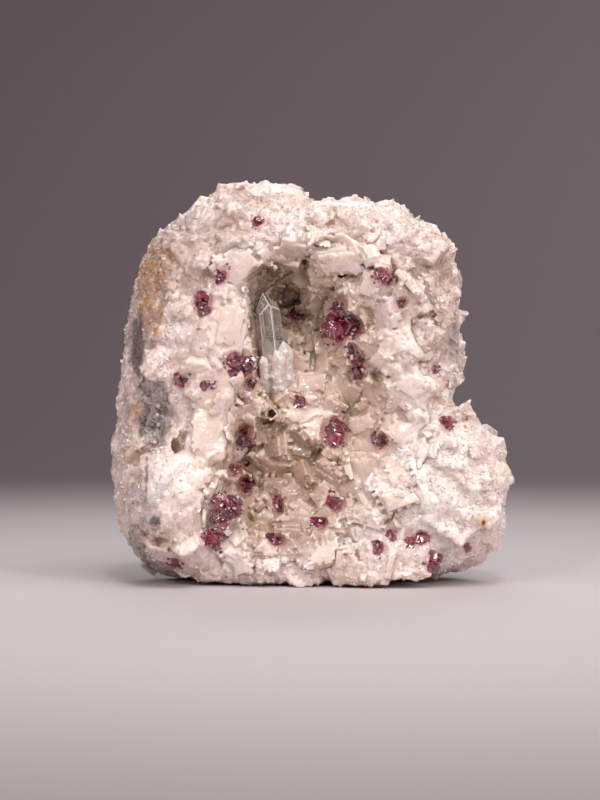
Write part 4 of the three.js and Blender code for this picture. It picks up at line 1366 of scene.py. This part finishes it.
def ribs():
    """Upright crystals side by side along the lower right edge"""
    rng = np.random.default_rng(SEED + 8)
    front = tree_of(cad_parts["matrix"].data)
    groups = []
    for index in range(round((RIB_END - RIB_START) / RIB_SPACING)):
        x = RIB_START + RIB_SPACING * (index + rng.uniform(-0.3, 0.3))
        point = front_point(front, x, RIB_MIDDLE + rng.uniform(-0.4, 0.4))
        yaw = Matrix.Rotation(rng.uniform(-0.9, 0.9), 3, "Z")
        lean = Matrix.Rotation(rng.uniform(-0.15, 0.15), 3, "Y")
        turned = yaw @ lean @ Matrix.Rotation(math.radians(90), 3, "X")
        size = np.array((rng.uniform(*RIB_WIDTH), rng.uniform(*RIB_HEIGHT), RIB_THICKNESS)) * MM
        shape = saddle_crystal(9, rng)
        groups.append(copies([shape], [np.array(point)], [np.array(turned)], [size], rng))
    return together(*groups)


def scattered(even_mesh, tree, shapes, growth, rng, wanted):
    """Copies of some shapes at random places on a surface, by the values of a growth"""
    count, low_high, flatness, spread, sink = growth
    places, normals = sites_on(even_mesh, tree, count, rng, wanted)
    turns = turns_along(tilted(normals, spread, rng), rng)
    sizes = sizes_between(low_high, len(places), rng, flatness)
    return copies(shapes, places - normals * sizes[:, 2:] * sink, turns, sizes, rng)


def in_oval(places, oval):
    """Places in an oval seen from the front: x, z, half width and half height"""
    x, z, half_width, half_height = oval
    return np.hypot((places[:, 0] - x) / half_width, (places[:, 2] - z) / half_height) < 1


def in_hollow(margin):
    """The hollow's surface that faces the front, clear of other crystals by a margin"""
    return lambda p, n: (n[:, 1] < 0.1) & (p[:, 1] < 3) & clear_of_small_crystals(p, margin)


def hollow_wall(places, normals):
    """The hollow without its deep recess"""
    return in_hollow(0.3)(places, normals) & ~in_oval(places, RECESS)


def hollow_recess(places, normals):
    """The hollow's deep recess"""
    return in_hollow(0.1)(places, normals) & in_oval(places, RECESS)


def on_face(margin):
    """The face, right of its smooth wall and clear of other crystals by a margin"""
    return lambda p, n: (n[:, 1] < -0.25) & (p[:, 0] > -19.4) & clear_of_small_crystals(p, margin)


def platy_face(places, normals):
    """The right, the top and the lower right of the face, where the rock is platy"""
    return on_face(1.0)(places, normals) & ((places[:, 0] > -7) | (places[:, 2] > 33))


def left_face(places, normals):
    """The left of the face, where the rock is smooth and only the edges of its crystals show"""
    return on_face(0.4)(places, normals) & (places[:, 0] < -6)


def sugary_face(places, normals):
    """The face away from its smooth left part, with few places there"""
    thinned = np.sin(places[:, 0] * 9.1 + places[:, 2] * 7.7) > 0.6
    return on_face(0.1)(places, normals) & ((places[:, 0] > -7) | (places[:, 0] < -15) | thinned)


def grainy_face(places, normals):
    """The sugary face and the upper part of the rough strip"""
    return sugary_face(places, normals) | (left_strip(places, normals) & (places[:, 2] > 12))


def left_strip(places, normals):
    """The rough strip beside the smooth left wall"""
    return (normals[:, 1] < -0.05) & (places[:, 0] < -14.5) & clear_of_small_crystals(places, 0.2)


def recess_side(places, normals):
    """Rock at the side of the deep recess"""
    inside = in_oval(places, RECESS_SIDE)
    return inside & (normals[:, 1] > -0.6) & (normals[:, 1] < 0.2) & (places[:, 1] > -9)


def broken_back(places, normals):
    """The back and the sides, without the smooth left wall"""
    return (normals[:, 1] > -0.1) & ((places[:, 0] > -18) | (normals[:, 1] > 0.6))


def near_seam(tree, test):
    """A test for places that pass another test and lie close to the other body"""
    def wanted(places, normals):
        """The places that pass both"""
        passed = test(places, normals)
        for index in np.nonzero(passed)[0]:
            passed[index] = tree.find_nearest(places[index] * MM, SEAM_REACH)[0] is not None
        return passed
    return wanted


on_rock = (even_rock, rock_body_tree)
on_crust = (even_crust, crust_body_tree)


def crust_crystals():
    """All crystals that are fused with the crust"""
    rng = np.random.default_rng(SEED + 1)
    petals = [saddle_crystal(9, rng) for _ in range(16)]
    blocks = [arrays_of(rhomb(rng)) for _ in range(12)]
    return together(
        large_plates("dolomite_crust"),
        scattered(*on_crust, petals, HOLLOW_PETALS, rng, hollow_wall),
        scattered(*on_crust, petals, RECESS_PETALS, rng, hollow_recess),
        scattered(*on_rock, petals, WALL_PETALS, rng, recess_side),
        scattered(*on_crust, blocks, HOLLOW_BLOCKS, rng, in_hollow(0.3)),
        scattered(*on_rock, petals, SEAM_PETALS, rng, near_seam(crust_body_tree, on_face(0.3))),
    )


def rock_crystals():
    """All crystals that are fused with the rock"""
    rng = np.random.default_rng(SEED + 3)
    petals = [saddle_crystal(8, rng) for _ in range(14)]
    blocks = [arrays_of(rhomb(rng)) for _ in range(12)]
    return together(
        large_plates("matrix"),
        ribs(),
        scattered(*on_rock, petals, RIM_PETALS, rng, platy_face),
        scattered(*on_rock, petals, LEFT_PETALS, rng, left_face),
        scattered(*on_rock, blocks, RIM_BLOCKS, rng, sugary_face),
        scattered(*on_rock, blocks, STRIP_BLOCKS, rng, left_strip),
        scattered(*on_rock, blocks, BACK_BLOCKS, rng, broken_back),
        scattered(*on_crust, petals, SEAM_PETALS, rng, near_seam(rock_body_tree, in_hollow(0.3))),
    )


def hidden_rock(places, normals):
    """Parts of the rock that aren't seen from the front"""
    return (places[:, 1] > 1 * MM) | (normals[:, 1] > 0.4)


def hidden_crust(places, normals):
    """Parts of the crust that lie in the rock"""
    return normals[:, 1] > 0.35


def skins():
    """The rock and the crust, each fused with its crystals"""
    pieces = []
    for name, body, crystals, voxel, hidden in (
        ("rock", rock_body, rock_crystals(), ROCK_VOXEL, hidden_rock),
        ("crust", crust_body, crust_crystals(), CRUST_VOXEL, hidden_crust),
    ):
        skin = fused(name, body, crystals, voxel, hidden)
        mark_tones(skin, crystals)
        mark_edges(skin)
        mark_halos(skin)
        mark_wall(skin)
        pieces.append(skin)
    whole = tree_of(*pieces)
    for skin in pieces:
        mark_crevices(skin, whole)
    return pieces


rock_skin, crust_skin = skins()
finished(object_of("rock", rock_skin, rock_finish), "dolomite_rock", "matrix")
finished(object_of("crust", crust_skin, crust_finish), "dolomite_crystal", "dolomite_crust")
rock_tree = tree_of(rock_skin)
crust_tree = tree_of(crust_skin)
front = tree_of(rock_skin, crust_skin)


def sparkling_grains(name, surface, growth, wanted, finish, slot, seed):
    """Separate small grains on a surface, given as its even mesh and its search tree"""
    rng = np.random.default_rng(SEED + seed)
    shapes = [arrays_of(rhomb(rng)) for _ in range(12)]
    crystals = scattered(*surface, shapes, growth, rng, wanted)
    finished(grains_object(name, crystals, for_grains(finish)), slot)


sparkling_grains("hollow_grains", (even_crust, crust_tree), HOLLOW_GRAINS, in_hollow(0.15), crust_finish,
                 "dolomite_crystal", 2)
sparkling_grains("rim_grains", (even_rock, rock_tree), RIM_GRAINS, grainy_face, rock_finish,
                 "dolomite_rock", 4)


def quartz_point(shape, foot, tip, radius, rng):
    """Six-sided crystal from its foot to its tip, with uneven end faces and narrow bevelled edges that take
    the second material, which on the clear point paints them white as highlights
    """
    foot, tip = placed(*foot), placed(*tip)
    radius = radius * MM
    axis = tip - foot
    length = axis.length
    at_foot, at_tip = (radius * share for share in QUARTZ_TAPER)
    depth = length * PRISM_EXCESS
    prism = bmesh.ops.create_cone(shape, cap_ends=True, segments=6, radius1=at_foot, radius2=at_tip,
                                  depth=depth)["verts"]
    bmesh.ops.translate(shape, vec=(0, 0, depth / 2), verts=prism)
    bmesh.ops.rotate(shape, cent=(0, 0, 0), matrix=Matrix.Rotation(PRISM_TURN, 3, "Z"), verts=prism)
    for around, rise, height in END_FACES:
        around, rise = math.radians(around), math.radians(rise)
        out = Vector((math.cos(around) * math.sin(rise), math.sin(around) * math.sin(rise), math.cos(rise)))
        above_tip = height + rng.uniform(-END_UNEVENNESS, END_UNEVENNESS)
        point = Vector((0, 0, length + above_tip * radius))
        whole = list(shape.verts) + list(shape.edges) + list(shape.faces)
        cut = bmesh.ops.bisect_plane(shape, geom=whole, plane_co=point, plane_no=out, clear_outer=True)
        edges = [item for item in cut["geom_cut"] if isinstance(item, bmesh.types.BMEdge)]
        bmesh.ops.contextual_create(shape, geom=edges)
    # Painted highlight: the bevels take the second material, opaque milky white on the clear point
    highlit_bevel = bmesh.ops.bevel(shape, geom=list(shape.edges), offset=QUARTZ_EDGE * radius, segments=1,
                           profile=0.5, affect="EDGES", material=-1)
    for face in highlit_bevel["faces"]:
        face.material_index = 1
    turn = Vector((0, 0, 1)).rotation_difference(axis).to_matrix().to_4x4()
    bmesh.ops.transform(shape, matrix=Matrix.Translation(foot) @ turn, verts=shape.verts)


def clear_quartz_point():
    """The clear point, with its bevelled edges painted white as highlights"""
    shape = bmesh.new()
    quartz_point(shape, *CLEAR_POINT, np.random.default_rng(SEED + 6))
    mesh = taken_from(shape, "quartz_point")
    point = object_of("quartz_point", mesh, clear_quartz)
    mesh.materials.append(quartz_edge_highlight)
    finished(point, "quartz", "quartz_crystal")


def milky_quartz_foot():
    """The milky points and the small crystals on their foot, grown into one"""
    rng = np.random.default_rng(SEED + 9)
    whole = bmesh.new()
    for foot, tip, radius in MILKY_POINTS:
        point = bmesh.new()
        quartz_point(point, foot, tip, radius, rng)
        whole.from_mesh(taken_from(point, "milky_point"))
    points = bpy.data.meshes.new("milky_points")
    whole.to_mesh(points)
    blocks = [arrays_of(rhomb(rng)) for _ in range(8)]
    small = scattered(points, tree_of(points), blocks, FOOT_BLOCKS, rng,
                      lambda p, n: (p[:, 2] < FOOT_TOP) & (n[:, 1] < 0.3))
    whole.from_mesh(mesh_of("foot_blocks", small))
    joined = taken_from(whole, "milky_joined")
    mesh = with_modifiers(joined, ("REMESH", {"mode": "VOXEL", "voxel_size": MILKY_VOXEL}),
                          ("SMOOTH", {"factor": 0.5, "iterations": 1}))
    mesh.name = "quartz_foot"
    mesh.shade_smooth()
    mesh.set_sharp_from_angle(angle=SHARP_SKIN_ANGLE)
    mark_edges(mesh)
    finished(object_of("quartz_foot", mesh, milky_quartz), "quartz")


def on_ground(x, z, proud, nearest, farthest):
    """A place on the skins seen from the front, in front of them by some way and between two depths"""
    point = front_point(front, x, z)
    if point is None:
        point = placed(x, 0, z)
        point.y = farthest
    point.y = min(max(point.y - proud, nearest), farthest)
    return np.array(point)


def cinnabar_row(surface, width, height, turn, x, z, rng):
    """One lump of cinnabar: large crystals in the middle, small ones over them and the smallest around"""
    narrow = min(width, height)
    large = 1 if width * height < WIDE_LUMP else WIDE_LUMP_CRYSTALS
    small = round(FEWEST_SMALL + SMALL_PER_AREA * width * height)
    outer = round(OUTER_PER_WIDTH * max(width, height))
    cosine, sine = math.cos(math.radians(turn)), math.sin(math.radians(turn))
    places, sizes = [], []
    for index in range(large + small + outer):
        share = math.sqrt(rng.random()) * SMALL_REACH
        size = rng.uniform(*SMALL_CINNABAR)
        if index < large:
            share = LARGE_REACH * rng.random()
            size = rng.uniform(*LARGE_CINNABAR) * narrow
        elif index >= large + small:
            share = rng.uniform(*OUTER_REACH)
            size = rng.uniform(*OUTER_CINNABAR)
        around = rng.uniform(0, 2 * math.pi)
        aside, up = math.cos(around) * share * width / 2, math.sin(around) * share * height / 2
        size = min(size, LARGEST_SHARE * narrow)
        place_x, place_z = x + aside * cosine + up * sine, z + up * cosine - aside * sine
        proud = CINNABAR_PROUD * size * MM
        nearest, farthest = surface - CINNABAR_AHEAD, surface + CINNABAR_BEHIND
        places.append(on_ground(place_x, place_z, proud, nearest, farthest))
        length, thickness = rng.uniform(*CINNABAR_LENGTH), rng.uniform(*CINNABAR_THICKNESS)
        sizes.append(np.array((1, length, thickness)) * size * MM)
    return places, sizes, large


def to_the_front(count):
    """So many directions, all to the front"""
    return np.tile((0.0, -1.0, 0.0), (count, 1))


def cinnabar_clusters():
    """Each cinnabar node as a cluster of twinned crystals"""
    rng = np.random.default_rng(SEED + 7)
    stepped = [arrays_of(cinnabar_crystal(rng, True)) for _ in range(8)]
    plain = [arrays_of(cinnabar_crystal(rng, False)) for _ in range(8)]
    for name in dict.fromkeys(row[0] for row in CINNABAR):
        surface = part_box(name)[0].y
        groups = []
        for _, x, z, width, height, turn in (row for row in CINNABAR if row[0] == name):
            places, sizes, large = cinnabar_row(surface, width, height, turn, x, z, rng)
            turns = turns_along(tilted(to_the_front(len(places)), CINNABAR_LEAN, rng), rng)
            groups.append(copies(stepped, places[:large], turns[:large], sizes[:large], rng))
            groups.append(copies(plain, places[large:], turns[large:], sizes[large:], rng))
        finished(grains_object(name + "_grains", together(*groups), cinnabar_finish), "cinnabar", name)
    places = [on_ground(x, z, 0, -1, 1) for x, z, _ in SPECKS]
    sizes = [np.full(3, size * MM) for _, _, size in SPECKS]
    turns = turns_along(to_the_front(len(places)), rng)
    specks = copies(plain, places, turns, sizes, rng)
    finished(grains_object("cinnabar_specks", specks, cinnabar_finish), "cinnabar")


clear_quartz_point()
milky_quartz_foot()
cinnabar_clusters()


# Floor, lights and camera

# The floor in metres: how far it is flat, where it ends, how high it rises there, and between which
# distances from the middle it turns dark
FLAT_RADIUS = 0.2
FLOOR_RADIUS = 0.62
WALL_HEIGHT = 0.5
DARKENING = (0.03, 0.22)
RISE_STEPS = 24
ROUND_STEPS = 96

# Area lights: name, place, width and height in metres, power in watts and colour
WHITE = (1, 1, 1)
LIGHTS = (
    ("key", (0.16, -0.3, 0.4), (0.4, 0.34), 1.25, (1, 0.98, 0.96)),
    ("front", (0.03, -0.55, 0.12), (0.5, 0.36), 1.2, WHITE),
    ("left", (-0.38, -0.26, 0.14), (0.12, 0.4), 0.5, WHITE),
    ("right", (0.42, -0.08, 0.2), (0.14, 0.35), 0.5, WHITE),
    ("top", (0, -0.12, 0.5), (0.3, 0.3), 0.3, WHITE),
    ("back", (0.0, 0.4, 0.35), (0.4, 0.2), 0.7, WHITE),
    ("glint_left", (-0.2, -0.45, 0.3), (0.05, 0.05), 0.5, WHITE),
    ("glint_right", (0.25, -0.4, 0.2), (0.05, 0.05), 0.5, WHITE),
    ("glint_top", (0.02, -0.3, 0.5), (0.05, 0.05), 0.5, WHITE),
)
LIGHTS_TARGET = Vector((0, 0, 0.02))
WORLD_COLOUR = (0.9, 0.88, 0.9, 1)
WORLD_STRENGTH = 0.2

# The camera, in millimetres and pixels of the photograph
PIXELS_PER_MM = 9.6
FRAME_HEIGHT = 800
FRAME_MIDDLE = (-1.35, 19.5)
FRONT_Y = 0.8
CAMERA_DISTANCE = 300
CAMERA_PITCH = math.radians(1.5)
SENSOR_HEIGHT = 24


def studio_floor():
    """Pale floor that rises all round and turns to a warm grey"""
    profile = bmesh.new()
    points = [(0, 0), (FLAT_RADIUS * 0.5, 0), (FLAT_RADIUS, 0)]
    for step in range(1, RISE_STEPS + 1):
        angle = math.pi / 2 * step / RISE_STEPS
        points.append((FLAT_RADIUS + (FLOOR_RADIUS - FLAT_RADIUS) * math.sin(angle),
                       WALL_HEIGHT * (1 - math.cos(angle))))
    verts = [profile.verts.new((x, 0, z)) for x, z in points]
    edges = [profile.edges.new(pair) for pair in zip(verts, verts[1:])]
    bmesh.ops.spin(profile, geom=verts + edges, axis=(0, 0, 1), cent=(0, 0, 0), angle=2 * math.pi,
                   steps=ROUND_STEPS, use_merge=True)
    bmesh.ops.remove_doubles(profile, verts=profile.verts, dist=1e-6)
    bmesh.ops.recalc_face_normals(profile, faces=profile.faces)
    mesh = taken_from(profile, "floor")
    mesh.shade_smooth()
    material, tree, shader = new_tree("floor")
    place = add(tree, "ShaderNodeTexCoord").outputs["Object"]
    distance = add(tree, "ShaderNodeVectorMath", {0: place}, operation="LENGTH").outputs["Value"]
    start, end = DARKENING
    far = add(tree, "ShaderNodeMapRange", {"Value": distance, "From Min": start, "From Max": end},
              interpolation_type="SMOOTHSTEP").outputs[0]
    aside = add(tree, "ShaderNodeSeparateXYZ", {0: place}).outputs["X"]
    wall = mixed(tree, spread(tree, aside, -0.15, 0.15), WALL_LEFT, WALL_RIGHT)
    tree.links.new(mixed(tree, far, FLOOR_COLOUR, wall), shader.inputs["Base Color"])
    set_values(shader, {"Roughness": 0.8})
    object_of("floor", mesh, material)


def area_light(name, place, size, power, colour):
    """Rectangular light that points at the specimen"""
    light = bpy.data.lights.new(name, "AREA")
    light.shape = "RECTANGLE"
    light.size, light.size_y = size
    light.energy = power
    light.color = colour
    obj = bpy.data.objects.new(name, light)
    bpy.context.scene.collection.objects.link(obj)
    obj.location = place
    obj.rotation_euler = (Vector(place) - LIGHTS_TARGET).to_track_quat("Z", "Y").to_euler()


def studio_lights():
    """All area lights, and dim light from everywhere"""
    for values in LIGHTS:
        area_light(*values)
    world = bpy.data.worlds.new("studio")
    world.use_nodes = True
    background = world.node_tree.nodes["Background"]
    set_values(background, {"Color": WORLD_COLOUR, "Strength": WORLD_STRENGTH})
    bpy.context.scene.world = world


def photo_camera():
    """Camera at the photograph's angle"""
    target = placed(FRAME_MIDDLE[0], FRONT_Y, FRAME_MIDDLE[1])
    away = Vector((0, -math.cos(CAMERA_PITCH), math.sin(CAMERA_PITCH))) * CAMERA_DISTANCE * MM
    camera = bpy.data.cameras.new("camera")
    camera.sensor_fit = "VERTICAL"
    camera.sensor_height = SENSOR_HEIGHT
    camera.lens = SENSOR_HEIGHT * CAMERA_DISTANCE / (FRAME_HEIGHT / PIXELS_PER_MM)
    camera.clip_start = 0.01
    obj = bpy.data.objects.new("camera", camera)
    bpy.context.scene.collection.objects.link(obj)
    obj.location = target + away
    obj.rotation_euler = away.to_track_quat("Z", "Y").to_euler()
    bpy.context.scene.camera = obj


studio_floor()
studio_lights()
photo_camera()
bpy.context.scene.view_settings.view_transform = "Standard"
